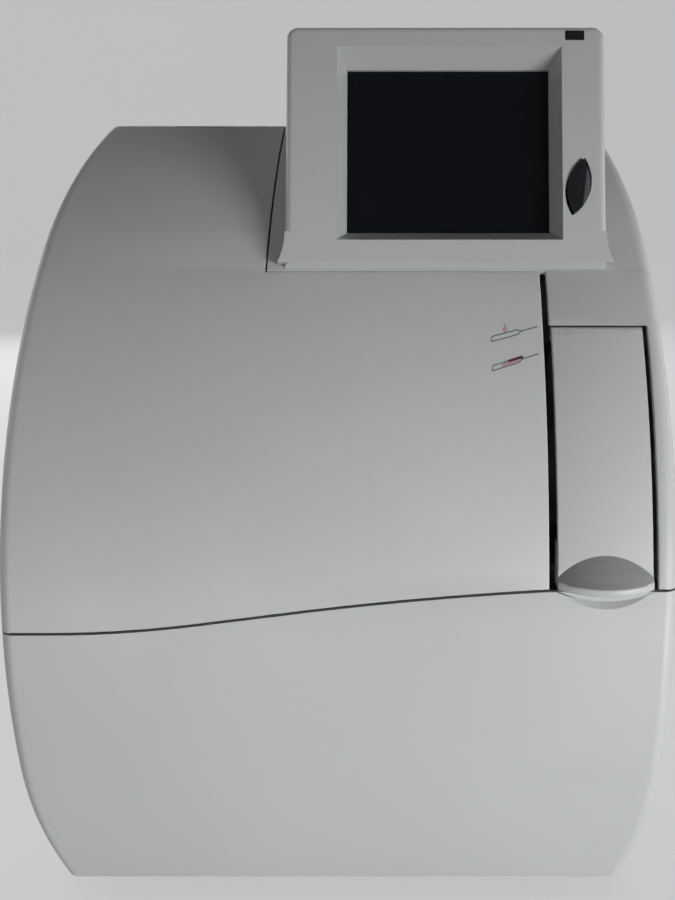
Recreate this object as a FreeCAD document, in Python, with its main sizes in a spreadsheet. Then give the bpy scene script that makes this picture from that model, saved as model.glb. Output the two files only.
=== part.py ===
"""A bench-top blood gas analyzer in millimetres: barrel-shaped covers round a wet bay, bottles and a screen.

The frame has its origin at the middle of the base, on the table, +Z up, and the front faces -Y.
"""
import FreeCAD, Part
import math
import os

import Sketcher

V = FreeCAD.Vector
X_AXIS, Y_AXIS, Z_AXIS = V(1, 0, 0), V(0, 1, 0), V(0, 0, 1)

# Driving sizes, in millimetres and degrees
SIZES = {
    # Barrel outline seen from the front
    "half_width": 183.5, "waist_height": 225, "side_radius": 1773, "side_reach": 138,
    "shoulder_radius": 250, "shell_bottom": 12, "shell_top": 437, "rear_depth": 180,
    # Front arc seen from the side, and the skin
    "front_radius": 375, "front_centre_y": 195, "front_centre_z": 98,
    "skin": 3, "edge_round": 8, "flange_depth": 26, "seam_gap": 1.2, "overrun": 20,
    # Seams of the front
    "seam_low": 167, "seam_bend_x": -155, "seam_rise_x": -75, "seam_rise_z": 172,
    "seam_crest_x": -15, "seam_crest_z": 179.3, "seam_end_z": 190, "seam_low_radius": 640,
    "seam_high_radius": 1940, "slot_left": 113.4, "slot_right": 117, "console_gap_x": -45,
    # Ribs inside the covers, and the air slots in the sides
    "rib_thick": 1.6, "rib_deep": 5, "rib_pitch": 56, "rib_count": 5, "rib_first_x": -128,
    "upper_rib_low": 200, "upper_rib_high": 280, "lower_rib_low": 44, "lower_rib_high": 150,
    "vent_front": 84, "vent_back": 150, "vent_low": 70, "vent_slot": 3.6, "vent_pitch": 8, "vent_count": 7,
    # Upper cover hinge
    "hinge_y": 36, "knuckle_radius": 5, "pin_radius": 2, "pin_clearance": 0.05,
    "knuckle_left": -146, "knuckle_split_left": -118, "knuckle_split_right": -84, "knuckle_right": -56,
    "knuckle_gap": 0.5,
    # Lower cover hinge
    "foot_hinge_y": -158, "foot_hinge_z": 22, "foot_lug_out": 128, "foot_lug_width": 14,
    "foot_lug_radius": 5, "foot_lug_gap": 0.5,
    # Sample flap
    "flap_right": 169.2, "flap_left": 118, "flap_top": 322, "flap_gap": 0.8, "flap_side_gap": 2.8,
    "flap_lip_radius": 67.6, "scoop_top": 207.5, "scoop_radius": 50, "scoop_out": 37.7,
    "flap_wall": 3, "lip_thickness": 12, "flap_axis_inset": 3.6, "flap_pin_radius": 1.2,
    "flap_lug_left": 126, "flap_lug_right": 157, "flap_lug_width": 5, "flap_lug_rise": 12,
    "flap_lug_radius": 2.6, "flap_lug_thick": 3.5, "dish_low": 181.6, "dish_circle": 43.7,
    "dish_radius": 75, "dish_out": 61,
    "lip_top": 212, "rim_top_radius": 300, "rim_proud": 2.5, "scoop_low": 189.5, "scoop_circle": 32.8,
    # Console
    "console_foot_y": -84.5, "console_foot_z": 356.5, "console_tilt": 18, "sweep_gap": 0.8,
    "fixed_gap": 0.3, "hinge_arm": 20,
    "console_x": 59.3, "console_half": 92.5, "console_height": 139, "console_thick": 50,
    "console_reach": 127, "console_reach_z": 126, "console_buried": 24, "console_corner": 7,
    "console_edge": 4, "console_wall": 6, "face_depth": 14, "face_wall": 2, "cavity_depth": 44,
    "cavity_low": 16, "window_left": -57.8, "window_low": 20.6, "window_right": 61.7,
    "window_high": 118.6, "bevel_left": -63, "bevel_low": 13, "bevel_right": 67.4, "bevel_high": 126.5,
    "flare_wide": 4.2, "flare_high": 18, "flare_deep": 6, "flare_radius": 40.7,
    "glass_lap": 3, "glass_thick": 1.8, "module_thick": 8, "module_rim": 8, "module_recess": 2,
    "board_gap": 5, "board_thick": 1.6, "post_radius": 2.5,
    "leaf_x": 76.5, "leaf_z": 44, "leaf_height": 33, "leaf_lean": 7, "leaf_radius": 24,
    "button_gap": 0.4, "button_proud": 1.2, "button_travel": 1.2, "switch_height": 1.4,
    "lamp_left": 69.4, "lamp_right": 80.6, "lamp_low": 130.2, "lamp_high": 136.1, "lamp_sunk": 0.4,
    # Back, ports, mains and fan
    "panel_half": 140, "panel_low": 24, "panel_high": 406, "panel_edge": 8, "panel_thick": 2,
    "grille_pitch": 7, "grille_slot": 4, "fan_half": 40, "fan_wall": 2, "fan_x": 80, "fan_z": 330,
    "fan_depth": 25, "fan_hub": 17, "fan_strut": 5, "spindle_radius": 1.5, "rotor_gap": 0.6,
    "blade_thick": 1.6, "blade_chord": 15, "blade_twist": -35,
    "port_left": -10, "port_low": 62, "port_serial": 31, "port_network": 16, "port_usb": 14,
    "port_gap": 5, "port_height": 13, "port_depth": 17, "port_sunk": 2, "port_wall": 1.5,
    "port_recess": 8, "inlet_left": -118, "inlet_right": -42, "inlet_low": 46, "inlet_high": 78,
    "inlet_split": -66, "inlet_sunk": 2, "inlet_depth": 30, "inlet_wall": 2.5, "inlet_recess": 16,
    "inlet_pin_pitch": 9, "inlet_pin_radius": 2, "rocker_gap": 0.5, "rocker_well": 14,
    "rocker_bend": 60, "rocker_pivot_radius": 1.5, "rocker_pivot_in": 4,
    "rocker_pivot_reach": 1, "rocker_depth": 9, "rocker_foot": 3,
    # Printer lid on the top
    "lid_left": -132, "lid_right": -62, "lid_front": 62, "lid_back": 134,
    # Chassis
    "base_half": 144, "base_front": -139, "base_back": 172, "base_corner": 6, "foot_x": 122,
    "foot_front_y": -118, "foot_back_y": 150, "foot_radius": 14, "foot_taper": 2,
    "sheet_thick": 2, "bulkhead_y": -58, "bulkhead_high": 343, "shelf_low": 172, "shelf_front": -138,
    "shelf_right": 170, "bay_wall_x": 113, "cable_hole": 14,
    # Bottles
    "tray_low": 28, "tray_thick": 2, "tray_half": 140, "tray_lip": 10, "tray_margin": 4,
    "bottle_pitch": 69, "bottle_half": 32, "bottle_front": -142, "bottle_back": -66,
    "bottle_height": 107, "bottle_corner": 9, "bottle_round": 6, "neck_radius": 11, "neck_height": 6,
    "cap_radius": 15, "cap_height": 13, "spout_radius": 4, "rail_height": 12,
    # Measuring chamber
    "chamber_left": -138, "chamber_right": -8, "chamber_low": 224, "chamber_high": 278,
    "chamber_front": -94, "chamber_corner": 5, "channel_low": 240, "channel_high": 264,
    "channel_edge": 6, "channel_right": -26, "channel_depth": 8, "sensor_pitch": 13.2,
    "sensor_radius": 5.6, "sensor_sunk": 12, "sensor_proud": 2, "door_pivot_z": 231,
    "door_left": -132, "door_right": -36, "door_ear": 4, "door_knuckle": 2.5, "door_high": 270,
    "door_thick": 2, "lever_x": -18, "lever_z": 262, "lever_thick": 4, "lever_arm": 24,
    "lever_radius": 7, "lever_width": 8, "stud_radius": 2,
    # Pumps and valves
    "pump_x": 12, "pump_pitch": 36, "pump_z": 208, "pump_half": 17, "pump_tall": 22,
    "pump_front": -86, "track_radius": 13.5, "track_floor": -70, "roller_radius": 3.2,
    "roller_orbit": 9, "rotor_plate": 2, "shaft_radius": 2.5, "motor_radius": 14, "motor_length": 32,
    "valve_low": 184, "valve_high": 212, "valve_front": -76, "coil_length": 22, "coil_radius": 8,
    "coil_tip": 4,
    # Sample module
    "module_left": 119, "module_right": 167, "module_low": 208, "module_high": 306,
    "module_front": -88, "disc_z": 268, "disc_radius": 19, "disc_thick": 6, "port_orbit": 9,
    "port_radius": 6, "port_tip_radius": 4.2, "port_length": 8, "port_bore": 1,
    "holder_length": 14, "needle_length": 16,
    "needle_radius": 0.8, "drip_height": 16, "drip_front": -134,
    # Electronics
    "supply_left": -138, "supply_right": -48, "supply_front": 20, "supply_back": 138,
    "supply_high": 98, "vent_pitch": 12, "spacer_length": 8, "board_low": 92, "board_high": 318,
    "board_half": 128, "board_edge": 7, "chip_height": 5,
    # Printer
    "well_low": 376, "well_ledge": 4, "roll_radius": 22, "roll_y": 104, "paper_side": 4,
    "platen_y": 74, "platen_z": 424, "platen_radius": 5, "lid_knuckle": 2.5,
    "base_top": 17, "foot_bracket_width": 5, "foot_bracket_end": -118, "return_end_y": -151,
}


class Size:
    """A number that also knows its formula in the sheet."""

    def __init__(self, value, text):
        self.value, self.text = float(value), text

    def __float__(self):
        return self.value

    def __add__(self, other):
        return Size(self.value + float(other), f"({self.text} + {text_of(other)})")

    def __radd__(self, other):
        return Size(float(other) + self.value, f"({text_of(other)} + {self.text})")

    def __sub__(self, other):
        return Size(self.value - float(other), f"({self.text} - {text_of(other)})")

    def __rsub__(self, other):
        return Size(float(other) - self.value, f"({text_of(other)} - {self.text})")

    def __mul__(self, other):
        return Size(self.value * float(other), f"({self.text} * {text_of(other)})")

    def __rmul__(self, other):
        return self * other

    def __truediv__(self, other):
        return Size(self.value / float(other), f"({self.text} / {text_of(other)})")

    def __neg__(self):
        return Size(-self.value, f"(-1 * {self.text})")

    def __lt__(self, other):
        return self.value < float(other)


def text_of(value):
    """The formula of a size, or a plain number as text."""
    return value.text if isinstance(value, Size) else repr(float(value))


def root(value):
    """The square root of a size."""
    return Size(math.sqrt(value.value), f"sqrt({value.text})")


doc = FreeCAD.newDocument("Analyzer")
sheet = doc.addObject("Spreadsheet::Sheet", "Sizes")
for row, (alias, number) in enumerate(SIZES.items(), start=1):
    sheet.set(f"A{row}", alias)
    sheet.set(f"B{row}", str(number))
    sheet.setAlias(f"B{row}", alias)
doc.recompute()
NODES = []


def size(alias):
    """One driving size, read from the sheet."""
    return Size(sheet.get(alias), f"Sizes.{alias}")


def node(name, shape_object):
    """Names a finished sub-part, which is then written to its own file."""
    shape_object.Label = name
    NODES.append(shape_object)
    return shape_object


def bind(shape_object, prop, value):
    """Ties one property to the sheet."""
    if isinstance(value, Size):
        shape_object.setExpression(prop, value.text)
    else:
        setattr(shape_object, prop, float(value))


def place(shape_object, point, rotation=None):
    """Puts an object at a point whose coordinates follow the sheet."""
    spot = V(*[float(c) for c in point])
    shape_object.Placement = FreeCAD.Placement(spot, rotation or FreeCAD.Rotation())
    for letter, value in zip("xyz", point):
        if isinstance(value, Size):
            shape_object.setExpression(f"Placement.Base.{letter}", value.text)
    return shape_object


def block(name, low, high):
    """A box between its lowest and highest corners."""
    box = doc.addObject("Part::Box", name)
    for prop, start, end in zip(("Length", "Width", "Height"), low, high):
        bind(box, prop, end - start)
    return place(box, low)


def rod(name, base, axis, radius, length):
    """A cylinder from its base point along an axis."""
    cylinder = doc.addObject("Part::Cylinder", name)
    bind(cylinder, "Radius", radius)
    bind(cylinder, "Height", length)
    return place(cylinder, base, FreeCAD.Rotation(Z_AXIS, axis))


def ball(name, centre, radius):
    """A sphere about its centre."""
    sphere = doc.addObject("Part::Sphere", name)
    bind(sphere, "Radius", radius)
    return place(sphere, centre)


def fuse(name, *shapes):
    """Joins objects into one."""
    joined = doc.addObject("Part::MultiFuse", name)
    joined.Shapes = list(shapes)
    return joined


def group(name, *shapes):
    """Holds separate solids in one object."""
    bundle = doc.addObject("Part::Compound", name)
    bundle.Links = list(shapes)
    return bundle


def cut(name, base, *tools):
    """Takes tools away from a base object."""
    result = doc.addObject("Part::Cut", name)
    result.Base = base
    result.Tool = tools[0] if len(tools) == 1 else fuse(f"{name}_tools", *tools)
    return result


def common(name, first, *others):
    """What all the objects share."""
    result = first
    for index, other in enumerate(others):
        step = doc.addObject("Part::Common", f"{name}_{index}")
        step.Base, step.Tool = result, other
        result = step
    return result


def round_edges(name, base, radius, wanted):
    """Rounds the edges for which wanted(edge) is true."""
    doc.recompute()
    rounded = doc.addObject("Part::Fillet", name)
    rounded.Base = base
    edges = enumerate(base.Shape.Edges, start=1)
    rounded.Edges = [(i, float(radius), float(radius)) for i, edge in edges if wanted(edge)]
    return rounded


def arc_centre(start, end, radius):
    """The centre of a short arc, left of the way it runs when the radius is positive."""
    middle, chord = (start + end) * 0.5, end - start
    height = math.sqrt(max(radius * radius - chord.Length ** 2 / 4, 0))
    left = V(-chord.y, chord.x, 0).normalize()
    return middle + left * math.copysign(height, radius)


def draw(sketch, *outlines):
    """Draws closed outlines of (x, y) or (x, y, radius of the arc to the next point), all bound."""
    for outline in outlines:
        points = [V(float(p[0]), float(p[1]), 0) for p in outline]
        first = sketch.GeometryCount
        ends = []
        for index, point in enumerate(points):
            after = points[(index + 1) % len(points)]
            radius = float(outline[index][2]) if len(outline[index]) > 2 else 0
            if radius:
                centre = arc_centre(point, after, radius)
                low, high = (point, after) if radius > 0 else (after, point)
                angles = [math.atan2(e.y - centre.y, e.x - centre.x) for e in (low, high)]
                circle = Part.Circle(centre, Z_AXIS, abs(radius))
                if angles[1] < angles[0]:
                    angles[1] += 2 * math.pi
                sketch.addGeometry(Part.ArcOfCircle(circle, angles[0], angles[1]), False)
                ends.append((1, 2) if radius > 0 else (2, 1))
            else:
                sketch.addGeometry(Part.LineSegment(point, after), False)
                ends.append((1, 2))
        count = len(points)
        for index, corner in enumerate(outline):
            here, after = first + index, first + (index + 1) % count
            meet = ("Coincident", here, ends[index][1], after, ends[(index + 1) % count][0])
            sketch.addConstraint(Sketcher.Constraint(*meet))
            for kind, value in zip(("DistanceX", "DistanceY"), corner):
                spot = (kind, -1, 1, here, ends[index][0], float(value))
                number = sketch.addConstraint(Sketcher.Constraint(*spot))
                if isinstance(value, Size):
                    sketch.setExpression(f"Constraints[{number}]", value.text)
            if len(corner) > 2:
                bend = abs(float(corner[2]))
                number = sketch.addConstraint(Sketcher.Constraint("Radius", here, bend))
                if isinstance(corner[2], Size):
                    sketch.setExpression(f"Constraints[{number}]", f"abs({corner[2].text})")


def add_sketch(body, name, plane, level, *outlines):
    """A sketch on one of the body's origin planes, moved along the plane's normal."""
    sketch = body.newObject("Sketcher::SketchObject", name)
    origin = [o for o in body.Origin.OriginFeatures if o.Role == f"{plane}_Plane"][0]
    sketch.AttachmentSupport = (origin, [""])
    sketch.MapMode = "FlatFace"
    sketch.AttachmentOffset = FreeCAD.Placement(V(0, 0, float(level)), FreeCAD.Rotation())
    if isinstance(level, Size):
        sketch.setExpression("AttachmentOffset.Base.z", level.text)
    draw(sketch, *outlines)
    return sketch


def levels(plane, low, high):
    """Where a sketch stands so that its pad runs from low to high."""
    return -high if plane == "XZ" else low


def prism(name, plane, low, high, *outlines):
    """A body padded from an outline, between two places along the plane's normal."""
    body = doc.addObject("PartDesign::Body", name)
    sketch = add_sketch(body, f"{name}_outline", plane, levels(plane, low, high), *outlines)
    pad = body.newObject("PartDesign::Pad", f"{name}_pad")
    pad.Profile = sketch
    bind(pad, "Length", high - low)
    return body


def pocket(body, name, plane, low, high, *outlines):
    """A pocket in a body between two places along the plane's normal."""
    doc.recompute()
    before = body.Shape.Volume
    sketch = add_sketch(body, f"{name}_outline", plane, levels(plane, low, high), *outlines)
    hollow = body.newObject("PartDesign::Pocket", f"{name}_pocket")
    hollow.Profile = sketch
    hollow.Reversed = True
    bind(hollow, "Length", high - low)
    doc.recompute()
    if not body.Shape.Volume < before:
        raise RuntimeError(f"{name} cuts nothing")
    return body


def soften(body, name, radius, wanted):
    """A fillet feature on the edges for which wanted(edge) is true."""
    doc.recompute()
    base = body.Tip
    names = [f"Edge{i}" for i, edge in enumerate(base.Shape.Edges, start=1) if wanted(edge)]
    rounded = body.newObject("PartDesign::Fillet", name)
    rounded.Base = (base, names)
    bind(rounded, "Radius", radius)
    return body


def box_outline(x0, y0, x1, y1):
    """Four corners of a rectangle."""
    return [(x0, y0), (x1, y0), (x1, y1), (x0, y1)]


def soft_outline(x0, y0, x1, y1, r):
    """A rectangle with quarter-round corners."""
    return [(x0 + r, y0), (x1 - r, y0, r), (x1, y0 + r), (x1, y1 - r, r), (x1 - r, y1),
            (x0 + r, y1, r), (x0, y1 - r), (x0, y0 + r, r)]


def vertical(edge, axis=Z_AXIS):
    """True for a straight edge along an axis."""
    if edge.Curve.TypeId != "Part::GeomLine":
        return False
    return edge.Curve.Direction.cross(axis).Length < 1e-6


# Barrel and front profile
half_width, waist = size("half_width"), size("waist_height")
shell_bottom, shell_top, rear = size("shell_bottom"), size("shell_top"), size("rear_depth")
front_radius, centre_y, centre_z = size("front_radius"), size("front_centre_y"), size("front_centre_z")
skin, seam_gap, overrun = size("skin"), size("seam_gap"), size("overrun")


def barrel_half(height, inset):
    """Half the barrel's width at a height, for a skin that is inset."""
    side, reach, bend = size("side_radius") - inset, size("side_reach"), size("shoulder_radius") - inset
    scale = side / size("side_radius")
    reach = reach * scale
    join = half_width - inset - side + root(side * side - reach * reach)
    drop = bend * reach / side
    centre = join - root(bend * bend - drop * drop)
    rise = height - waist if height.value > waist.value else waist - height
    past = rise - reach + drop
    return centre + root(bend * bend - past * past), join, reach


def front_y(height, inset):
    """Where the front arc is at a height."""
    r, dz = front_radius - inset, height - centre_z
    return centre_y - root(r * r - dz * dz)


def envelope(name, inset):
    """The barrel as far as the front arc, the flat top, the back and the bottom."""
    low, high = shell_bottom + inset, shell_top - inset
    side, bend = size("side_radius") - inset, size("shoulder_radius") - inset
    foot, join, reach = barrel_half(low, inset)
    crown = barrel_half(high, inset)[0]
    outline = [(-foot, low), (foot, low, bend), (join, waist - reach, side), (join, waist + reach, bend),
               (crown, high), (-crown, high, bend), (-join, waist + reach, side),
               (-join, waist - reach, bend)]
    barrel = prism(f"{name}_barrel", "XZ", -rear - overrun, rear + overrun, outline)
    r = front_radius - inset
    profile = [(front_y(low, inset), low), (rear - inset, low), (rear - inset, high),
               (front_y(high, inset), high, r)]
    side_form = prism(f"{name}_profile", "YZ", -half_width - overrun, half_width + overrun, profile)
    return common(name, barrel, side_form)


def core(name, depth):
    """A cylinder inside the front arc, deep enough to leave a flange of that depth."""
    return rod(name, (-half_width - overrun, centre_y, centre_z), X_AXIS, front_radius - depth,
               (half_width + overrun) * 2)


# Barrel shell and the zone of the front covers
def outside_edge(edge):
    """True for the edges of the barrel that are rounded: all but the base and the tangent lines."""
    box = edge.BoundBox
    low = box.ZMax < float(shell_bottom) + 1
    tangent = box.ZLength < 1 and box.YLength > 100 and box.ZMax < float(shell_top) - 1
    return not low and not tangent


flange, wide = size("flange_depth"), half_width + overrun
hinge_y, knuckle = size("hinge_y"), size("knuckle_radius")
hinge_z = shell_top - knuckle
outer = round_edges("outer_soft", envelope("outer", 0 * skin), size("edge_round"), outside_edge)
shell = cut("shell", outer, envelope("inner", skin))
groove_end = hinge_y + knuckle + seam_gap
front_most = centre_y - front_radius - overrun
cover_zone = cut("cover_zone", block("cover_block", (-wide, front_most, -overrun),
                                     (wide, hinge_y, shell_top + overrun)), core("cover_core", flange))
fixed_gap = size("fixed_gap")
fixed_zone = cut("fixed_zone", block("fixed_block", (-wide, front_most, -overrun),
                                     (wide, groove_end - fixed_gap, shell_top + overrun)),
                 core("fixed_core", flange + seam_gap - fixed_gap))
open_zone = cut("open_zone", block("open_block", (-wide, front_most, -overrun),
                                   (wide, groove_end, shell_top + overrun)),
                core("open_core", flange + seam_gap))

# Seams of the front, from the left edge to the slot
seam_low, seam_end = size("seam_low"), size("seam_end_z")
slot_left, slot_right = size("slot_left"), size("slot_right")
flap_left, flap_right, flap_top = size("flap_left"), size("flap_right"), size("flap_top")
flap_gap, lip_bend = size("flap_gap"), size("flap_lip_radius")
console_gap_x = size("console_gap_x")


def seam(drop):
    """The S-shaped seam from left to right, lowered by a gap."""
    return [(-wide, seam_low - drop), (size("seam_bend_x"), seam_low - drop, size("seam_low_radius")),
            (size("seam_rise_x"), size("seam_rise_z") - drop),
            (size("seam_crest_x"), size("seam_crest_z") - drop, -size("seam_high_radius"))]


# Screen console: its foot sets how far the upper cover's edge has to stay from its hinge
foot_y, foot_z, tilt = size("console_foot_y"), size("console_foot_z"), size("console_tilt")
run_y, run_z = foot_y - hinge_y, foot_z - hinge_z
foot_reach = root(run_y * run_y + run_z * run_z)
sweep_gap = size("sweep_gap")


def sweep(name, radius, left, right):
    """A cylinder about the upper cover's hinge."""
    return rod(name, (left, hinge_y, hinge_z), X_AXIS, radius, right - left)


def ribs(cover, low, high):
    """Upright stiffening ribs on the inside of a cover."""
    deep, thick = skin + size("rib_deep"), size("rib_thick")
    band = cut(f"{cover}_rib_band", core(f"{cover}_rib_outer", skin / 2), core(f"{cover}_rib_inner", deep))
    rows = [size("rib_first_x") + size("rib_pitch") * i for i in range(int(float(size("rib_count"))))]
    slabs = [block(f"{cover}_rib_{i}", (x, front_most, low), (x + thick, hinge_y, high))
             for i, x in enumerate(rows)]
    return common(f"{cover}_ribs", band, group(f"{cover}_rib_slabs", *slabs))


def upper_cover():
    """The large bonnet with its two hinge knuckles and its ribs."""
    outline = seam(0 * skin) + [(slot_left, seam_end), (slot_left, foot_z), (console_gap_x, foot_z),
                                (console_gap_x, shell_top + overrun), (-wide, shell_top + overrun)]
    region = prism("upper_region", "XZ", front_most, hinge_y + overrun, outline)
    sheet_metal = common("upper_sheet", shell, cover_zone, region)
    spans = (("knuckle_left", "knuckle_split_left"), ("knuckle_split_right", "knuckle_right"))
    knuckles = [rod(f"upper_{a}", (size(a), hinge_y, hinge_z), X_AXIS, knuckle, size(b) - size(a))
                for a, b in spans]
    whole = fuse("upper_with_knuckles", sheet_metal, *knuckles,
                 ribs("upper", size("upper_rib_low"), size("upper_rib_high")))
    split, other = size("knuckle_split_left"), size("knuckle_split_right")
    gap = size("knuckle_gap")
    notch = rod("upper_notch", (split, hinge_y, hinge_z), X_AXIS, knuckle + gap, other - split)
    bore = rod("upper_bore", (-wide, hinge_y, hinge_z), X_AXIS,
               size("pin_radius") + size("pin_clearance"), wide)
    past = sweep("upper_sweep", foot_reach + sweep_gap, console_gap_x, slot_left + overrun)
    node("upper_cover", cut("upper_cover_body", whole, notch, bore, past))


def top_hinge():
    """The fixed bracket under the top wall and the pin through all three knuckles."""
    gap = size("knuckle_gap")
    left, right = size("knuckle_split_left") + gap, size("knuckle_split_right") - gap
    barrel = rod("bracket_barrel", (left, hinge_y, hinge_z), X_AXIS, knuckle, right - left)
    arm = block("bracket_arm", (left, hinge_y, hinge_z - knuckle),
                (right, hinge_y + size("hinge_arm"), shell_top - skin))
    bore = rod("bracket_bore", (left, hinge_y, hinge_z), X_AXIS, size("pin_radius"), right - left)
    node("top_hinge_bracket", cut("top_bracket", fuse("bracket_solid", barrel, arm), bore))
    pin = rod("top_pin", (size("knuckle_left"), hinge_y, hinge_z), X_AXIS, size("pin_radius"),
              size("knuckle_right") - size("knuckle_left"))
    node("top_hinge_pin", pin)


hinge_low_y, hinge_low_z = size("foot_hinge_y"), size("foot_hinge_z")
lug_out, lug_wide, lug_radius = size("foot_lug_out"), size("foot_lug_width"), size("foot_lug_radius")
lug_gap, bracket_wide = size("foot_lug_gap"), size("foot_bracket_width")


def standing_ball(name, feature, height):
    """A ball in front of the flap's middle that bites into the front arc around a height."""
    reach = front_radius + size(f"{feature}_out")
    rise = (height - centre_z) * reach / front_radius
    return ball(name, ((flap_left + flap_right) / 2, centre_y - root(reach * reach - rise * rise),
                       centre_z + rise), size(f"{feature}_radius"))


def lower_cover():
    """The bottom cover that tips forward: two hinge lugs, and a shallow dish under the flap's lip."""
    gap = seam_gap
    outline = seam(gap) + [(slot_left, seam_end - gap), (flap_left - flap_gap, seam_end - gap, lip_bend),
                           (flap_right + flap_gap, seam_end - gap), (wide, seam_end - gap),
                           (wide, -overrun), (-wide, -overrun)]
    region = prism("lower_region", "XZ", front_most, hinge_y, outline)
    sheet_form = common("lower_sheet", shell, cover_zone, region)
    inner_y = front_y(hinge_low_z, skin)
    lugs, notches = [], []
    for side, start in (("left", -lug_out), ("right", lug_out - lug_wide)):
        barrel = rod(f"lug_{side}", (start, hinge_low_y, hinge_low_z), X_AXIS, lug_radius, lug_wide)
        web = block(f"lug_web_{side}", (start, inner_y - skin / 2, hinge_low_z - lug_radius / 2),
                    (start + lug_wide, hinge_low_y, hinge_low_z + lug_radius / 2))
        lugs += [barrel, web]
        near = start + lug_wide + lug_gap if side == "left" else start - lug_gap - bracket_wide
        notches.append(block(f"lug_notch_{side}", (near - lug_gap, inner_y + lug_gap, -overrun),
                             (near + bracket_wide + lug_gap, hinge_y, hinge_low_z)))
    trim = block("return_trim", (-wide, size("return_end_y"), -overrun),
                 (wide, hinge_y, hinge_low_z))
    whole = cut("lower_trimmed", sheet_form, trim, *notches)
    bore = rod("lower_bore", (-wide, hinge_low_y, hinge_low_z), X_AXIS,
               size("pin_radius") + size("pin_clearance"), wide * 2)
    dish = standing_ball("dish_ball", "dish", size("dish_low") + size("dish_circle"))
    stiff = ribs("lower", size("lower_rib_low"), size("lower_rib_high"))
    node("lower_cover", cut("lower_cover_body", fuse("lower_with_lugs", whole, *lugs, stiff), bore, dish))


def lower_hinges():
    """Two brackets on the chassis, each with the pin that a lug of the lower cover turns on."""
    brackets, pins = [], []
    top = size("base_top")
    for side, start in (("left", -lug_out), ("right", lug_out - lug_wide)):
        near = start + lug_wide + lug_gap if side == "left" else start - lug_gap - bracket_wide
        barrel = rod(f"low_barrel_{side}", (near, hinge_low_y, hinge_low_z), X_AXIS, lug_radius,
                     bracket_wide)
        arm = block(f"low_arm_{side}", (near, hinge_low_y, top),
                    (near + bracket_wide, size("foot_bracket_end"), hinge_low_z + lug_radius))
        bore = rod(f"low_bore_{side}", (near, hinge_low_y, hinge_low_z), X_AXIS, size("pin_radius"),
                   bracket_wide)
        brackets.append(cut(f"low_bracket_{side}", fuse(f"low_solid_{side}", barrel, arm), bore))
        pin_start = start if side == "left" else near
        pins.append(rod(f"low_pin_{side}", (pin_start, hinge_low_y, hinge_low_z), X_AXIS,
                        size("pin_radius"), lug_wide + lug_gap + bracket_wide))
    node("lower_hinge_brackets", group("low_brackets", *brackets))
    node("lower_hinge_pins", group("low_pins", *pins))


# Sample flap
axis_inset = size("flap_axis_inset")
flap_axis_z = flap_top - axis_inset
flap_axis_y = front_y(flap_axis_z, axis_inset)
lug_places = (size("flap_lug_left"), size("flap_lug_right"))


def flap_region(name):
    """The flap seen from the front: straight sides and a lip that bulges down."""
    outline = [(flap_left, seam_end, lip_bend), (flap_right, seam_end), (flap_right, flap_axis_z),
               (flap_left, flap_axis_z)]
    return prism(name, "XZ", front_most, hinge_y, outline)


def sample_flap():
    """The flap: a curved sheet, a thick lip with a finger scoop, a proud rim and a rolled top edge."""
    thin = cut("flap_band", outer, core("flap_core", size("flap_wall")))
    thick = cut("lip_band", outer, core("lip_core", size("lip_thickness")))
    lip_zone = block("lip_zone", (flap_left, front_most, 0), (flap_right, 0, size("lip_top")))
    sheet_form = common("flap_sheet", thin, flap_region("flap_region"))
    lip = common("flap_lip_form", thick, flap_region("lip_region"), lip_zone)
    roll = rod("flap_roll", (flap_left, flap_axis_y, flap_axis_z), X_AXIS, axis_inset,
               flap_right - flap_left)
    rim_outline = [(flap_left, seam_end, lip_bend), (flap_right, seam_end, -size("rim_top_radius"))]
    ring = cut("rim_ring", core("rim_outer", -size("rim_proud")), core("rim_inner", skin))
    rim = common("flap_rim", ring, prism("rim_region", "XZ", front_most, front_most / 2, rim_outline))
    scoop_low = size("scoop_low")
    scoop = standing_ball("scoop_ball", "scoop", size("scoop_top") - size("scoop_circle"))
    scoop_zone = block("scoop_zone", (flap_left, front_most - overrun, scoop_low),
                       (flap_right, 0, flap_top))
    scooped = cut("flap_scooped", fuse("flap_solid", sheet_form, lip, roll),
                  common("scoop", scoop, scoop_zone))
    gap = size("knuckle_gap")
    notches = []
    for index, x in enumerate(lug_places):
        end = x + size("flap_lug_width") + gap
        notches.append(rod(f"flap_notch_{index}", (x - gap, flap_axis_y, flap_axis_z), X_AXIS,
                           size("flap_lug_radius") + gap, end - x + gap))
        notches.append(block(f"flap_room_{index}", (x - gap, flap_axis_y, flap_axis_z - axis_inset - gap),
                             (end, flap_axis_y + axis_inset * 2, flap_top)))
    bore = rod("flap_bore", (flap_left, flap_axis_y, flap_axis_z), X_AXIS,
               size("flap_pin_radius") + size("pin_clearance"), flap_right - flap_left)
    node("sample_flap", cut("sample_flap_body", fuse("flap_rimmed", scooped, rim), *notches, bore))


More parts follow.
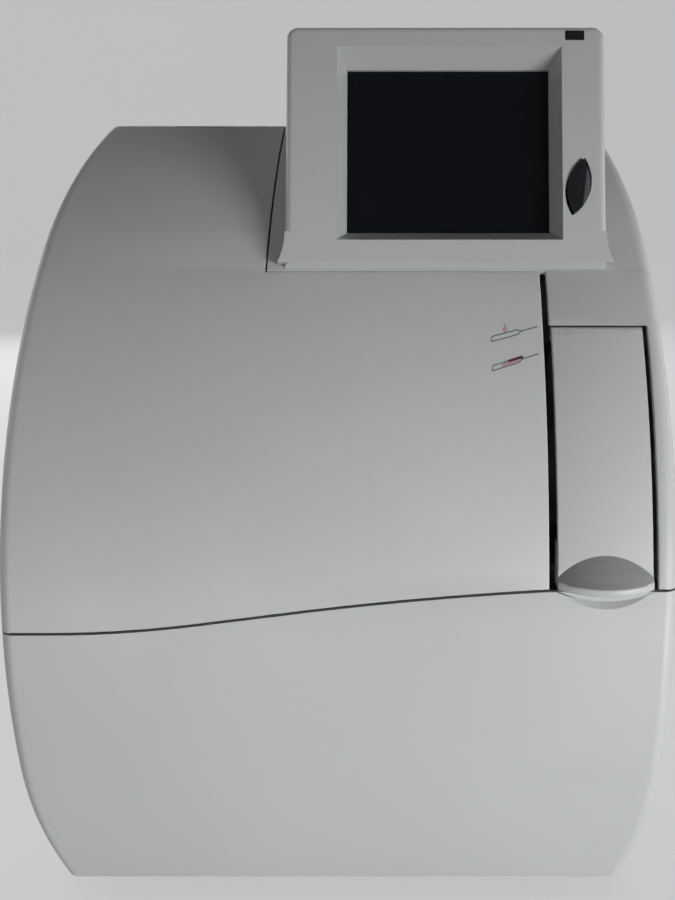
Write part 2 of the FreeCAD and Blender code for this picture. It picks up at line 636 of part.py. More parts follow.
def right_panel():
    """The fixed panel that frames the flap, with the two hooked lugs that its pin goes through."""
    gap, side = flap_gap, flap_right + size("flap_side_gap")
    outline = [(side, seam_end), (wide, seam_end), (wide, foot_z + overrun),
               (slot_right, foot_z + overrun), (slot_right, flap_top + gap), (side, flap_top + gap)]
    region = prism("panel_region", "XZ", front_most, hinge_y, outline)
    sheet_form = common("panel_sheet", shell, fixed_zone, region)
    trimmed = cut("panel_trimmed", sheet_form,
                  sweep("panel_sweep", foot_reach + fixed_gap, slot_right - overrun, wide))
    lugs = []
    for index, x in enumerate(lug_places):
        end = x + size("flap_lug_width")
        radius = size("flap_lug_radius")
        near = flap_axis_y + axis_inset + size("knuckle_gap")
        far, low = near + size("flap_lug_thick"), flap_axis_z - radius
        barrel = rod(f"panel_lug_{index}", (x, flap_axis_y, flap_axis_z), X_AXIS, radius, end - x)
        arm = block(f"panel_arm_{index}", (x, flap_axis_y, low), (end, far, flap_axis_z))
        riser = block(f"panel_riser_{index}", (x, near, low), (end, far, flap_top + size("flap_lug_rise")))
        lugs += [barrel, arm, common(f"panel_hook_{index}", riser, core(f"hook_core_{index}", skin / 2))]
    bore = rod("panel_bore", (flap_left, flap_axis_y, flap_axis_z), X_AXIS, size("flap_pin_radius"),
               flap_right - flap_left)
    node("right_panel", cut("right_panel_body", fuse("panel_with_lugs", trimmed, *lugs), bore))
    pin = rod("flap_pin_rod", (flap_left, flap_axis_y, flap_axis_z), X_AXIS, size("flap_pin_radius"),
              flap_right - flap_left)
    node("flap_pin", pin)


# Console, modelled upright in its own frame and then leant back on its foot
console_x, console_half = size("console_x"), size("console_half")
lean = FreeCAD.Rotation(X_AXIS, -float(tilt))
face_depth, cavity_depth = size("face_depth"), size("cavity_depth")
window = [size(f"window_{side}") for side in ("left", "low", "right", "high")]
bevel = [size(f"bevel_{side}") for side in ("left", "low", "right", "high")]


def leant(shape_object):
    """Puts a piece of the console, made upright at the origin, on the console's foot."""
    return place(shape_object, (console_x, foot_y, foot_z), lean)


def slab(name, low_x, low_z, high_x, high_z, near, far, r=None):
    """A flat piece of the console between two depths behind its face."""
    outline = soft_outline if r is not None else box_outline
    corners = (low_x, low_z, high_x, high_z) + ((r,) if r is not None else ())
    return leant(prism(name, "XZ", near, far, outline(*corners)))


def leaf(name, grow, near, far):
    """The pointed oval of the standby button between two depths."""
    half, tall = size("leaf_lean") / 2, size("leaf_height") / 2
    x, z, bend = size("leaf_x"), size("leaf_z"), size("leaf_radius")
    outline = [(x - half - grow, z - tall - grow, bend + grow),
               (x + half + grow, z + tall + grow, bend + grow)]
    return leant(prism(name, "XZ", near, far, outline))


def console_cavity(name, grow):
    """The space for the display inside the console."""
    side, wall = console_half - size("console_wall"), size("cavity_low")
    high = size("console_height") - size("console_wall")
    return slab(name, -side - grow, wall - grow, side + grow, high + grow, face_depth + size("face_wall"),
                cavity_depth + grow)


def console():
    """The leaning housing with its bevelled window, and the fixed panel that it stands on."""
    high, deep = size("console_height"), size("console_thick")
    reach, reach_z, buried = size("console_reach"), size("console_reach_z"), size("console_buried")
    side_outline = [(0 * high, 0 * high), (buried, -buried / 2), (reach, reach_z - buried),
                    (reach, reach_z), (deep, high), (0 * high, high)]
    form = prism("console_form", "YZ", -console_half, console_half, side_outline)
    soften(form, "console_corners", size("console_corner"),
           lambda e: vertical(e, Y_AXIS) and e.BoundBox.ZMin > float(high) - 1)
    soften(form, "console_face_edge", size("console_edge"),
           lambda e: e.BoundBox.YMax < 0.01 and e.BoundBox.ZMax > 1)
    leant(form)
    spread, rise, bend = console_half + size("flare_wide"), size("flare_high"), size("flare_radius")
    flare = leant(prism("console_flare", "XZ", 0 * rise, size("flare_deep"),
                        [(-spread, 0 * rise), (spread, 0 * rise, -bend), (console_half, rise),
                         (-console_half, rise, -bend)]))
    funnel = doc.addObject("PartDesign::Body", "console_funnel")
    outer_rim = add_sketch(funnel, "funnel_front", "XZ", 0 * high, box_outline(*bevel))
    inner_rim = add_sketch(funnel, "funnel_back", "XZ", -face_depth, box_outline(*window))
    loft = funnel.newObject("PartDesign::AdditiveLoft", "funnel_loft")
    loft.Profile, loft.Sections, loft.Ruled = outer_rim, [inner_rim], True
    leant(funnel)
    clear = size("button_gap")
    pane = slab("window_hole", *window, face_depth - clear, face_depth + size("face_wall"))
    lamp = slab("lamp_hole", *[size(f"lamp_{side}") for side in ("left", "low", "right", "high")],
                0 * high, face_depth + size("face_wall"))
    hole = leaf("leaf_hole", clear, 0 * high - clear, face_depth + size("face_wall"))
    hollow = console_cavity("console_cavity", 0 * high)
    whole = fuse("console_flared", form, flare)
    node("console_housing", cut("console_body", whole, outer, funnel, pane, lamp, hole, hollow))
    region = block("fixed_region", (console_gap_x + seam_gap, front_most, foot_z - foot_reach / 2),
                   (wide, hinge_y + overrun, shell_top + overrun))
    inside = sweep("panel_reach", foot_reach, console_gap_x, wide)
    sheet_form = common("fixed_sheet", shell, fixed_zone, region, inside)
    room = console_cavity("panel_room", fixed_gap)
    node("console_panel", cut("console_panel_body", sheet_form, room))


def display():
    """What the console holds: glass, display module, boards, the standby button and the lamp window."""
    lap, wall = size("glass_lap"), face_depth + size("face_wall")
    glass_low = [window[0] - lap, window[1] - lap, window[2] + lap, window[3] + lap]
    glass_back = wall + size("glass_thick")
    module_back = glass_back + size("module_thick")
    node("touch_glass", slab("glass", *glass_low, wall, glass_back))
    module = prism("module", "XZ", glass_back, module_back, box_outline(*glass_low))
    rim = size("module_rim")
    inner = [glass_low[0] + rim, glass_low[1] + rim, glass_low[2] - rim, glass_low[3] - rim]
    pocket(module, "module_recess", "XZ", module_back - size("module_recess"), module_back,
           box_outline(*inner))
    node("display_module", leant(module))
    gap, thick = size("board_gap"), size("board_thick")
    board = slab("display_card", *glass_low, module_back + gap, module_back + gap + thick)
    posts = []
    for index, (ix, iz) in enumerate(((0, 1), (2, 1), (0, 3), (2, 3))):
        x = glass_low[ix] + (rim / 2 if ix == 0 else -rim / 2)
        z = glass_low[iz] + (rim / 2 if iz == 1 else -rim / 2)
        r = size("post_radius")
        posts.append(slab(f"post_{index}", x - r, z - r, x + r, z + r, module_back, module_back + gap))
    display_card = fuse("display_board_body", board, *posts)
    proud, travel = size("button_proud"), size("button_travel")
    stem_end = wall - size("switch_height") - travel - size("button_gap") / 2
    node("standby_button", leaf("leaf_button", 0 * proud, -proud, stem_end))
    half, tall = size("leaf_height") / 2, size("leaf_height") / 2 + lap
    x, z = size("leaf_x"), size("leaf_z")
    card = slab("button_card", x - half / 2, z - tall, x + half / 2, z + tall, wall, wall + thick)
    r = size("post_radius")
    dome = slab("button_dome", x - r, z - r, x + r, z + r, wall - size("switch_height"), wall)
    node("display_boards", group("boards", display_card, fuse("button_board_body", card, dome)))
    lamp = [size(f"lamp_{side}") for side in ("left", "low", "right", "high")]
    node("lamp_window", slab("lamp", *lamp, size("lamp_sunk"), wall))


# Rear housing, base and back
panel_half, panel_low, panel_high = size("panel_half"), size("panel_low"), size("panel_high")
lid_left, lid_right = size("lid_left"), size("lid_right")
lid_front, lid_back = size("lid_front"), size("lid_back")


def rear_housing():
    """The barrel behind the covers, with its openings for the back panel and the lid, and its air slots."""
    edge = size("panel_edge")
    back = block("back_opening", (edge - panel_half, rear - skin * 2, panel_low + edge),
                 (panel_half - edge, rear + overrun, panel_high - edge))
    lid = block("lid_opening", (lid_left - flap_gap, lid_front - flap_gap, shell_top - skin * 2),
                (lid_right + flap_gap, lid_back + flap_gap, shell_top + overrun))
    knuckle_z, knuckle_y = shell_top - size("lid_knuckle"), lid_back - size("lid_knuckle")
    pivot = rod("lid_pivot", (lid_left - flap_gap * 2, knuckle_y, knuckle_z), X_AXIS,
                size("flap_pin_radius"), lid_right - lid_left + flap_gap * 4)
    rows = [size("vent_low") + size("vent_pitch") * i for i in range(int(float(size("vent_count"))))]
    slots = [block(f"vent_{i}", (-wide, size("vent_front"), low),
                   (wide, size("vent_back"), low + size("vent_slot"))) for i, low in enumerate(rows)]
    housing = cut("rear_body", shell, open_zone, back, lid, *slots)
    node("rear_housing", fuse("rear_with_pivot", housing, pivot))


def base():
    """The steel base plate and its four rubber feet."""
    half, front, back = size("base_half"), size("base_front"), size("base_back")
    plate = prism("base_form", "XY", shell_bottom + skin, size("base_top"),
                  soft_outline(-half, front, half, back, size("base_corner")))
    node("base_plate", plate)
    feet = []
    for x in (-size("foot_x"), size("foot_x")):
        for y in (size("foot_front_y"), size("foot_back_y")):
            label = f"foot_{len(feet)}"
            lower = doc.addObject("Part::Cone", label)
            bind(lower, "Radius1", size("foot_radius") - size("foot_taper"))
            bind(lower, "Radius2", size("foot_radius"))
            bind(lower, "Height", shell_bottom)
            feet.append(place(lower, (x, y, 0 * x)))
    node("rubber_feet", group("feet", *feet))


def back_panel():
    """The sheet-metal back with fan grille, port openings and the inlet's cut-out."""
    panel = prism("back_form", "XZ", rear - skin - size("panel_thick"), rear - skin,
                  soft_outline(-panel_half, panel_low, panel_half, panel_high, size("base_corner")))
    pitch, bar = size("grille_pitch"), size("grille_slot")
    half, x, z = size("fan_half") - size("fan_wall") * 2, size("fan_x"), size("fan_z")
    count = int(float(half * 2) / float(pitch))
    slots = []
    for index in range(count):
        low = z - half + pitch * (index + 0.5) - bar / 2
        slots.append(block(f"grille_{index}", (x - half, rear - skin * 3, low), (x + half, rear, low + bar)))
    inlet = block("inlet_cut", (size("inlet_left"), rear - skin * 3, size("inlet_low")),
                  (size("inlet_right"), rear, size("inlet_high")))
    ports = [block(f"port_cut_{i}", low, high) for i, (low, high) in enumerate(port_places(0))]
    node("back_panel", cut("back_body", panel, *slots, inlet, *ports))


def port_places(inset):
    """Low and high corners of the sockets on the back."""
    places = []
    x, z = size("port_left"), size("port_low")
    for width in ("port_serial", "port_serial", "port_network", "port_usb"):
        high = (x + size(width) - inset, rear - size("port_sunk"), z + size("port_height") - inset)
        places.append(((x + inset, rear - size("port_depth"), z + inset), high))
        x = x + size(width) + size("port_gap")
    return places


def rear_ports():
    """The sockets themselves, each with its own recess."""
    sockets = []
    for index, (low, high) in enumerate(port_places(0)):
        wall = size("port_wall")
        shell_box = block(f"socket_{index}", low, high)
        hollow = block(f"socket_hollow_{index}",
                       (low[0] + wall, high[1] - size("port_recess"), low[2] + wall),
                       (high[0] - wall, high[1] + wall, high[2] - wall))
        sockets.append(cut(f"socket_body_{index}", shell_box, hollow))
    node("rear_ports", group("ports", *sockets))


def mains():
    """The appliance inlet and the rocker of the mains switch beside it."""
    left, right, low, high = [size(f"inlet_{s}") for s in ("left", "right", "low", "high")]
    face, deep, wall = rear - size("inlet_sunk"), rear - size("inlet_depth"), size("inlet_wall")
    middle, gap = size("inlet_split"), size("rocker_gap")
    form = block("inlet_form", (left, deep, low), (right, face, high))
    cup = block("inlet_cup", (left + wall, face - size("inlet_recess"), low + wall),
                (middle - wall, face + wall, high - wall))
    pins = [rod(f"inlet_pin_{i}", (middle / 2 + left / 2 + size("inlet_pin_pitch") * i,
                                   face - size("inlet_recess") - wall, (low + high) / 2), Y_AXIS,
                size("inlet_pin_radius"), size("inlet_recess")) for i in (-1, 0, 1)]
    well = block("rocker_well", (middle + wall, face - size("rocker_well"), low + wall),
                 (right - wall, face + wall, high - wall))
    reach, pivot = size("rocker_pivot_reach"), size("rocker_pivot_radius")
    pivot_start = (middle + wall - reach, face - size("rocker_pivot_in"), (low + high) / 2)
    pivot_long = right - middle - wall * 2 + reach * 2
    bore = rod("rocker_bore", pivot_start, X_AXIS, pivot + size("pin_clearance"), pivot_long)
    node("mains_inlet", fuse("inlet_body", cut("inlet_cut_body", form, cup, well, bore), *pins))
    tall, r = (high - low) / 2 - wall - gap, size("rocker_bend")
    z, depth = (low + high) / 2, size("rocker_depth")
    outline = [(face - depth, z - size("rocker_foot")), (face, z - tall, r), (face, z + tall),
               (face - depth, z + size("rocker_foot"))]
    rocker = prism("rocker_form", "YZ", middle + wall + gap, right - wall - gap, outline)
    node("power_switch", fuse("rocker_body", rocker,
                              rod("rocker_pivot", pivot_start, X_AXIS, pivot, pivot_long)))


def fan():
    """The square fan frame on the back panel and its seven-bladed impeller."""
    x, z, half = size("fan_x"), size("fan_z"), size("fan_half")
    back = rear - skin - size("panel_thick")
    front, wall = back - size("fan_depth"), size("fan_wall")
    bore, hub = half - wall, size("fan_hub")
    frame = prism("fan_form", "XZ", front, back,
                  soft_outline(x - half, z - half, x + half, z + half, size("base_corner") / 2))
    tunnel = rod("fan_tunnel", (x, front - wall, z), Y_AXIS, bore, size("fan_depth") + wall * 2)
    strut_y = back - size("fan_strut")
    struts = [block(f"fan_strut_{i}", low, high) for i, (low, high) in enumerate((
        ((x - bore - wall / 2, strut_y, z - wall / 2), (x + bore + wall / 2, back, z + wall / 2)),
        ((x - wall / 2, strut_y, z - bore - wall / 2), (x + wall / 2, back, z + bore + wall / 2))))]
    motor = rod("fan_motor", (x, strut_y, z), Y_AXIS, hub, size("fan_strut"))
    spindle = rod("fan_spindle", (x, front + wall * 2, z), Y_AXIS, size("spindle_radius"),
                  strut_y - front - wall * 2)
    node("fan_frame", fuse("fan_frame_body", cut("fan_ring", frame, tunnel), *struts, motor, spindle))
    gap = size("rotor_gap")
    length = strut_y - gap - front - wall
    core_rod = rod("rotor_hub", (x, front + wall, z), Y_AXIS, hub, length)
    blades = []
    for index in range(7):
        blade = block(f"blade_{index}", (0 * x, 0 * x, -size("blade_thick") / 2),
                      (bore - gap * 2, size("blade_chord"), size("blade_thick") / 2))
        twist = FreeCAD.Rotation(X_AXIS, float(size("blade_twist")))
        turn = FreeCAD.Rotation(Y_AXIS, 360 / 7 * index)
        blades.append(place(blade, (x, front + wall * 2, z), turn * twist))
    hole = rod("rotor_bore", (x, front, z), Y_AXIS, size("spindle_radius") + size("pin_clearance"),
               size("fan_depth"))
    limit = rod("rotor_limit", (x, front + gap, z), Y_AXIS, bore - gap, strut_y - gap * 2 - front)
    whole = common("rotor_whole", fuse("rotor_solid", core_rod, *blades), limit)
    node("fan_impeller", cut("fan_impeller_body", whole, hole))


# Inner frame
bulk_y, bulk_thick, bulk_half = size("bulkhead_y"), size("sheet_thick"), size("base_half")
bulk_face = bulk_y - bulk_thick
shelf_low = size("shelf_low")
shelf_top = shelf_low + bulk_thick


def inner_frame():
    """The bulkhead between wet and dry side, the shelf over the bottles and the wall by the flap."""
    hole = size("cable_hole")
    plate = prism("bulkhead_form", "XZ", bulk_face, bulk_y,
                  box_outline(-bulk_half, size("base_top"), bulk_half, size("bulkhead_high")),
                  soft_outline(-bulk_half + hole, shelf_top + hole, -bulk_half + hole * 2,
                               shelf_top + hole * 3, hole / 4))
    node("bulkhead", plate)
    front = size("shelf_front")
    shelf = prism("shelf_form", "XY", shelf_low, shelf_top,
                  soft_outline(-bulk_half, front, size("shelf_right"), bulk_face, bulk_thick))
    wall = block("wall_form", (size("bay_wall_x"), front, shelf_top),
                 (size("bay_wall_x") + bulk_thick, bulk_face, size("bulkhead_high")))
    node("bay_shelf", fuse("shelf_body", shelf, common("bay_wall", wall, core("wall_core", flange))))


# Bottles
tray_low, tray_thick = size("tray_low"), size("tray_thick")
bottle_count, bottle_pitch = 4, size("bottle_pitch")
bottle_low = tray_low + tray_thick
cap_low = bottle_low + size("bottle_height")
cap_top = cap_low + size("cap_height")
bottle_front, bottle_back = size("bottle_front"), size("bottle_back")


def bottle_x(index):
    """The middle of one bottle across the bay."""
    return bottle_pitch * (index - (bottle_count - 1) / 2)


def bottles():
    """The tray on its ribs, four square bottles, their caps, and the docking rail that meets the caps."""
    edge, lip = size("tray_half"), size("tray_lip")
    front, back = bottle_front - size("tray_margin"), bulk_face
    tray = prism("tray_form", "XY", tray_low, tray_low + lip, box_outline(-edge, front, edge, back))
    pocket(tray, "tray_hollow", "XY", tray_low + tray_thick, tray_low + lip,
           box_outline(tray_thick - edge, front + tray_thick, edge - tray_thick, back - tray_thick))
    ribs = [block(f"tray_rib_{i}", (x - tray_thick, size("base_front"), size("base_top")),
                  (x + tray_thick, back, tray_low)) for i, x in
            enumerate((-bottle_pitch, 0 * bottle_pitch, bottle_pitch))]
    node("bottle_tray", fuse("tray_body", tray, *ribs))
    half = size("bottle_half")
    neck, cap = size("neck_radius"), size("cap_radius")
    middle = (bottle_front + bottle_back) / 2
    for index in range(bottle_count):
        x = bottle_x(index)
        outline = soft_outline(x - half, bottle_front, x + half, bottle_back, size("bottle_corner"))
        form = prism(f"bottle_form_{index}", "XY", bottle_low, cap_low - size("neck_height"), outline)
        soften(form, f"bottle_edge_{index}", size("bottle_round"),
               lambda e: e.BoundBox.ZMin > float(cap_low - size("neck_height")) - 0.01)
        collar = rod(f"neck_{index}", (x, middle, cap_low - size("neck_height") * 2), Z_AXIS, neck,
                     size("neck_height") * 2)
        node(f"bottle_{index + 1}", fuse(f"bottle_body_{index}", form, collar))
    caps, spouts = [], []
    for index in range(bottle_count):
        x = bottle_x(index)
        caps.append(rod(f"cap_{index}", (x, middle, cap_low), Z_AXIS, cap, size("cap_height")))
        spouts.append(rod(f"spout_{index}", (x, middle, cap_top + fixed_gap), Z_AXIS, size("spout_radius"),
                          shelf_low - cap_top - fixed_gap))
    node("bottle_caps", group("caps", *caps))
    rail = block("rail_form", (-edge, middle - neck, shelf_low - size("rail_height")),
                 (edge, middle + neck, shelf_low))
    node("docking_rail", fuse("rail_body", rail, *spouts))


# Measuring chamber
chamber = {side: size(f"chamber_{side}") for side in ("left", "right", "low", "high", "front")}
sensor_count, sensor_pitch = 8, size("sensor_pitch")


def measuring_chamber():
    """The block with its row of sensors, the clear door over them and the locking lever."""
    left, right, low, high = [chamber[s] for s in ("left", "right", "low", "high")]
    front = chamber["front"]
    form = prism("chamber_form", "XZ", front, bulk_face, soft_outline(left, low, right, high,
                                                                    size("chamber_corner")))
    channel_low, channel_high = size("channel_low"), size("channel_high")
    edge = size("channel_edge")
    pocket(form, "channel", "XZ", front, front + size("channel_depth"),
           box_outline(left + edge, channel_low, size("channel_right"), channel_high))
    bores, sensors = [], []
    middle = (channel_low + channel_high) / 2
    radius, floor = size("sensor_radius"), front + size("channel_depth")
    for index in range(sensor_count):
        x = left + edge + sensor_pitch * (index + 0.5)
        bores.append(rod(f"sensor_bore_{index}", (x, floor, middle), Y_AXIS, radius, size("sensor_sunk")))
        disc = rod(f"sensor_disc_{index}", (x, floor - size("sensor_proud"), middle), Y_AXIS,
                   radius, size("sensor_sunk") + size("sensor_proud"))
        tip = rod(f"sensor_tip_{index}", (x, floor - size("sensor_proud") * 2, middle), Y_AXIS,
                  radius / 2, size("sensor_proud"))
        sensors.append(fuse(f"sensor_{index}", disc, tip))
    pivot = size("door_pivot_z")
    ears = []
    door_left, door_right = size("door_left"), size("door_right")
    ear, r = size("door_ear"), size("door_knuckle")
    py = front - r - fixed_gap
    for index, x in enumerate((door_left - ear - size("knuckle_gap"), door_right + size("knuckle_gap"))):
        barrel = rod(f"door_ear_{index}", (x, py, pivot), X_AXIS, r, ear)
        web = block(f"door_web_{index}", (x, py, pivot - r), (x + ear, front, pivot + r))
        ears += [barrel, web]
    shaft_x, shaft_z = size("lever_x"), size("lever_z")
    stud = rod("lever_stud", (shaft_x, front - size("lever_thick") * 2, shaft_z), Y_AXIS,
               size("stud_radius"), size("lever_thick") * 2)
    pin = rod("door_pin", (door_left - ear, py, pivot), X_AXIS, size("flap_pin_radius"),
              door_right - door_left + ear * 2)
    block_body = fuse("chamber_with_ears", cut("chamber_bored", form, *bores), *ears, stud, pin)
    node("measuring_chamber", block_body)
    node("sensors", group("sensor_row", *sensors))
    thick = size("door_thick")
    pane = block("door_pane", (door_left, py - thick / 2, pivot), (door_right, py + thick / 2,
                                                                  size("door_high")))
    roll = rod("door_roll", (door_left, py, pivot), X_AXIS, r, door_right - door_left)
    grip = block("door_grip", (door_left + ear * 4, py - thick * 2, size("door_high") - thick),
                 (door_right - ear * 4, py + thick / 2, size("door_high")))
    bore = rod("door_bore", (door_left, py, pivot), X_AXIS, size("flap_pin_radius") + size("pin_clearance"),
               door_right - door_left)
    node("chamber_door", cut("door_body", fuse("door_solid", pane, roll, grip), bore))
    lever_thick, arm = size("lever_thick"), size("lever_arm")
    lever_y = front - lever_thick - size("rotor_gap") / 2
    boss = rod("lever_boss", (shaft_x, lever_y, shaft_z), Y_AXIS, size("lever_radius"), lever_thick)
    bar = block("lever_bar", (shaft_x - size("lever_width") / 2, lever_y, shaft_z - arm),
                (shaft_x + size("lever_width") / 2, lever_y + lever_thick, shaft_z))
    knob = rod("lever_knob", (shaft_x, lever_y - lever_thick, shaft_z - arm), Y_AXIS,
               size("lever_width") / 2, lever_thick * 2)
    eye = rod("lever_eye", (shaft_x, lever_y - lever_thick, shaft_z), Y_AXIS,
              size("stud_radius") + size("pin_clearance"), lever_thick * 3)
    node("chamber_lever", cut("lever_body", fuse("lever_solid", boss, bar, knob), eye))


# Pumps and valves
pump_count, pump_pitch, pump_z = 3, size("pump_pitch"), size("pump_z")


def pumps():
    """Three roller pump heads, each with its rotor, and the motors behind the bulkhead."""
    half, tall, front = size("pump_half"), size("pump_tall"), size("pump_front")
    track, roller, orbit = size("track_radius"), size("roller_radius"), size("roller_orbit")
    floor, gap = size("track_floor"), size("rotor_gap")
    motors = []
    for index in range(pump_count):
        x = size("pump_x") + pump_pitch * index
        form = prism(f"pump_form_{index}", "XZ", front, bulk_face,
                     soft_outline(x - half, pump_z - tall, x + half, pump_z + tall, roller))
        well = rod(f"track_{index}", (x, front - gap, pump_z), Y_AXIS, track, floor - front + gap)
        way = block(f"tube_way_{index}", (x - track, front - gap, pump_z - tall - gap),
                    (x + track, floor, pump_z))
        shaft = rod(f"pump_shaft_{index}", (x, front + gap, pump_z), Y_AXIS, size("shaft_radius"),
                    bulk_face - front - gap)
        node(f"pump_head_{index + 1}", fuse(f"pump_body_{index}", cut(f"pump_cut_{index}", form, well, way),
                                            shaft))
        plate, back = front + gap, floor - gap
        thick = size("rotor_plate")
        disc = rod(f"rotor_back_{index}", (x, back - thick, pump_z), Y_AXIS, orbit + roller / 2, thick)
        face = rod(f"rotor_face_{index}", (x, plate, pump_z), Y_AXIS, orbit + roller / 2, thick)
        hub = rod(f"rotor_hub_{index}", (x, plate, pump_z), Y_AXIS, orbit / 2, back - plate)
        rollers = []
        for step in range(3):
            angle = math.radians(90 + 120 * step)
            rollers.append(rod(f"roller_{index}_{step}",
                               (x + orbit * math.cos(angle), plate, pump_z + orbit * math.sin(angle)),
                               Y_AXIS, roller, back - plate))
        eye = rod(f"rotor_eye_{index}", (x, plate - gap, pump_z), Y_AXIS,
                  size("shaft_radius") + size("pin_clearance"), back - plate + gap * 2)
        node(f"pump_rotor_{index + 1}", cut(f"rotor_body_{index}",
                                            fuse(f"rotor_whole_{index}", disc, face, hub, *rollers), eye))
        motors.append(rod(f"pump_motor_{index}", (x, bulk_y, pump_z), Y_AXIS, size("motor_radius"),
                          size("motor_length")))
    node("pump_motors", group("motors", *motors))


def valves():
    """The valve block with a row of solenoid valves."""
    left, right = chamber["left"], chamber["right"]
    low, high, front = size("valve_low"), size("valve_high"), size("valve_front")
    node("valve_block", block("valve_form", (left, front, low), (right, bulk_face, high)))
    count, coils = 6, []
    pitch = (right - left) / count
    for index in range(count):
        x, z = left + pitch * (index + 0.5), (low + high) / 2
        coil = rod(f"coil_{index}", (x, front - size("coil_length"), z), Y_AXIS, size("coil_radius"),
                   size("coil_length"))
        tip = rod(f"coil_tip_{index}", (x, front - size("coil_length") - size("coil_tip"), z), Y_AXIS,
                  size("coil_radius") / 2, size("coil_tip"))
        coils.append(fuse(f"valve_{index}", coil, tip))
    node("solenoid_valves", group("valve_row", *coils))


def sample_module():
    """Behind the flap: the block, the turning docking disc with its fill port, the needle and the tray."""
    left, right, low, high = [size(f"module_{s}") for s in ("left", "right", "low", "high")]
    front, x, z = size("module_front"), (size("module_left") + size("module_right")) / 2, size("disc_z")
    form = prism("sample_form", "XZ", front, bulk_face, soft_outline(left, low, right, high, lug_radius))
    stub = rod("disc_stub", (x, front - size("disc_thick"), z), Y_AXIS, size("stud_radius"),
               size("disc_thick"))
    node("sample_block", fuse("sample_body", form, stub))
    gap = size("rotor_gap") / 2
    disc = rod("disc_form", (x, front - gap - size("disc_thick"), z), Y_AXIS, size("disc_radius"),
               size("disc_thick"))
    port_z = z + size("port_orbit")
    cone = doc.addObject("Part::Cone", "port_cone")
    bind(cone, "Radius1", size("port_radius"))
    bind(cone, "Radius2", size("port_tip_radius"))
    bind(cone, "Height", size("port_length"))
    place(cone, (x, front - gap - size("disc_thick"), port_z), FreeCAD.Rotation(Z_AXIS, -Y_AXIS))
    bore = rod("port_bore", (x, front - size("disc_thick") - size("port_length") * 2, port_z), Y_AXIS,
               size("port_bore"), size("port_length") * 3)
    node("fill_port", cut("port_body", cone, bore))
    eye = rod("disc_eye", (x, front - size("disc_thick") * 3, z), Y_AXIS,
              size("stud_radius") + size("pin_clearance"), size("disc_thick") * 3)
    node("docking_disc", cut("disc_body", disc, eye))
    needle_z = (low + size("disc_z") - size("disc_radius")) / 2
    holder = rod("needle_holder", (x, front - size("holder_length"), needle_z), Y_AXIS, lug_radius,
                 size("holder_length"))
    tube = rod("needle_tube", (x, front - size("holder_length") - size("needle_length"), needle_z),
               Y_AXIS, size("needle_radius"), size("needle_length"))
    node("sample_needle", fuse("needle_body", holder, tube))
    wall = bulk_thick
    tray = prism("drip_form", "XY", shelf_top, shelf_top + size("drip_height"),
                 soft_outline(left, size("drip_front"), right, bulk_face, lug_radius))
    pocket(tray, "drip_hollow", "XY", shelf_top + wall, shelf_top + size("drip_height"),
           soft_outline(left + wall, size("drip_front") + wall, right - wall, bulk_face - wall,
                        lug_radius - wall))
    node("drip_tray", tray)


# Electronics behind the bulkhead
def electronics():
    """The power supply in its cage and the main board on spacers, with its parts."""
    left, right, front, back = [size(f"supply_{s}") for s in ("left", "right", "front", "back")]
    top = size("base_top")
    cage = prism("supply_form", "XY", top, size("supply_high"), box_outline(left, front, right, back))
    vents, pitch = [], size("vent_pitch")
    for index in range(6):
        x = left + pitch * (index + 1)
        vents.append(block(f"vent_{index}", (x, front + pitch, size("supply_high") - skin),
                           (x + pitch / 2, back - pitch, size("supply_high") + skin)))
    node("power_supply", cut("supply_body", cage, *vents))
    spacer, thick = size("spacer_length"), size("board_thick")
    low, high, half = size("board_low"), size("board_high"), size("board_half")
    near = bulk_y + spacer
    board = prism("main_form", "XZ", near, near + thick, box_outline(-half, low, half, high))
    edge, r = size("board_edge"), size("post_radius")
    posts = [rod(f"spacer_{i}", (x, bulk_y, z), Y_AXIS, r, spacer) for i, (x, z) in enumerate((
        (edge - half, low + edge), (half - edge, low + edge), (edge - half, high - edge),
        (half - edge, high - edge)))]
    chips, far = [], near + thick
    for index, (column, row, wide_share, tall_share) in enumerate(CHIP_SHARES):
        x, z = -half + half * 2 * column, low + (high - low) * row
        chips.append(block(f"chip_{index}", (x, far, z),
                           (x + half * 2 * wide_share, far + size("chip_height"),
                            z + (high - low) * tall_share)))
    room = size("motor_radius") + size("rotor_gap")
    holes = [rod(f"motor_hole_{i}", (size("pump_x") + pump_pitch * i, bulk_y, pump_z), Y_AXIS, room,
                 spacer * 2) for i in range(pump_count)]
    main = cut("main_drilled", fuse("main_body", board, *posts), *holes)
    node("main_board", group("board_with_parts", main, *chips))


# Where the parts of the main board sit, and how large they are, as shares of the board
CHIP_SHARES = ((0.1, 0.15, 0.14, 0.16), (0.35, 0.2, 0.2, 0.22), (0.65, 0.15, 0.1, 0.12),
               (0.8, 0.1, 0.1, 0.28), (0.12, 0.6, 0.16, 0.2), (0.42, 0.62, 0.12, 0.16),
               (0.66, 0.66, 0.08, 0.1))


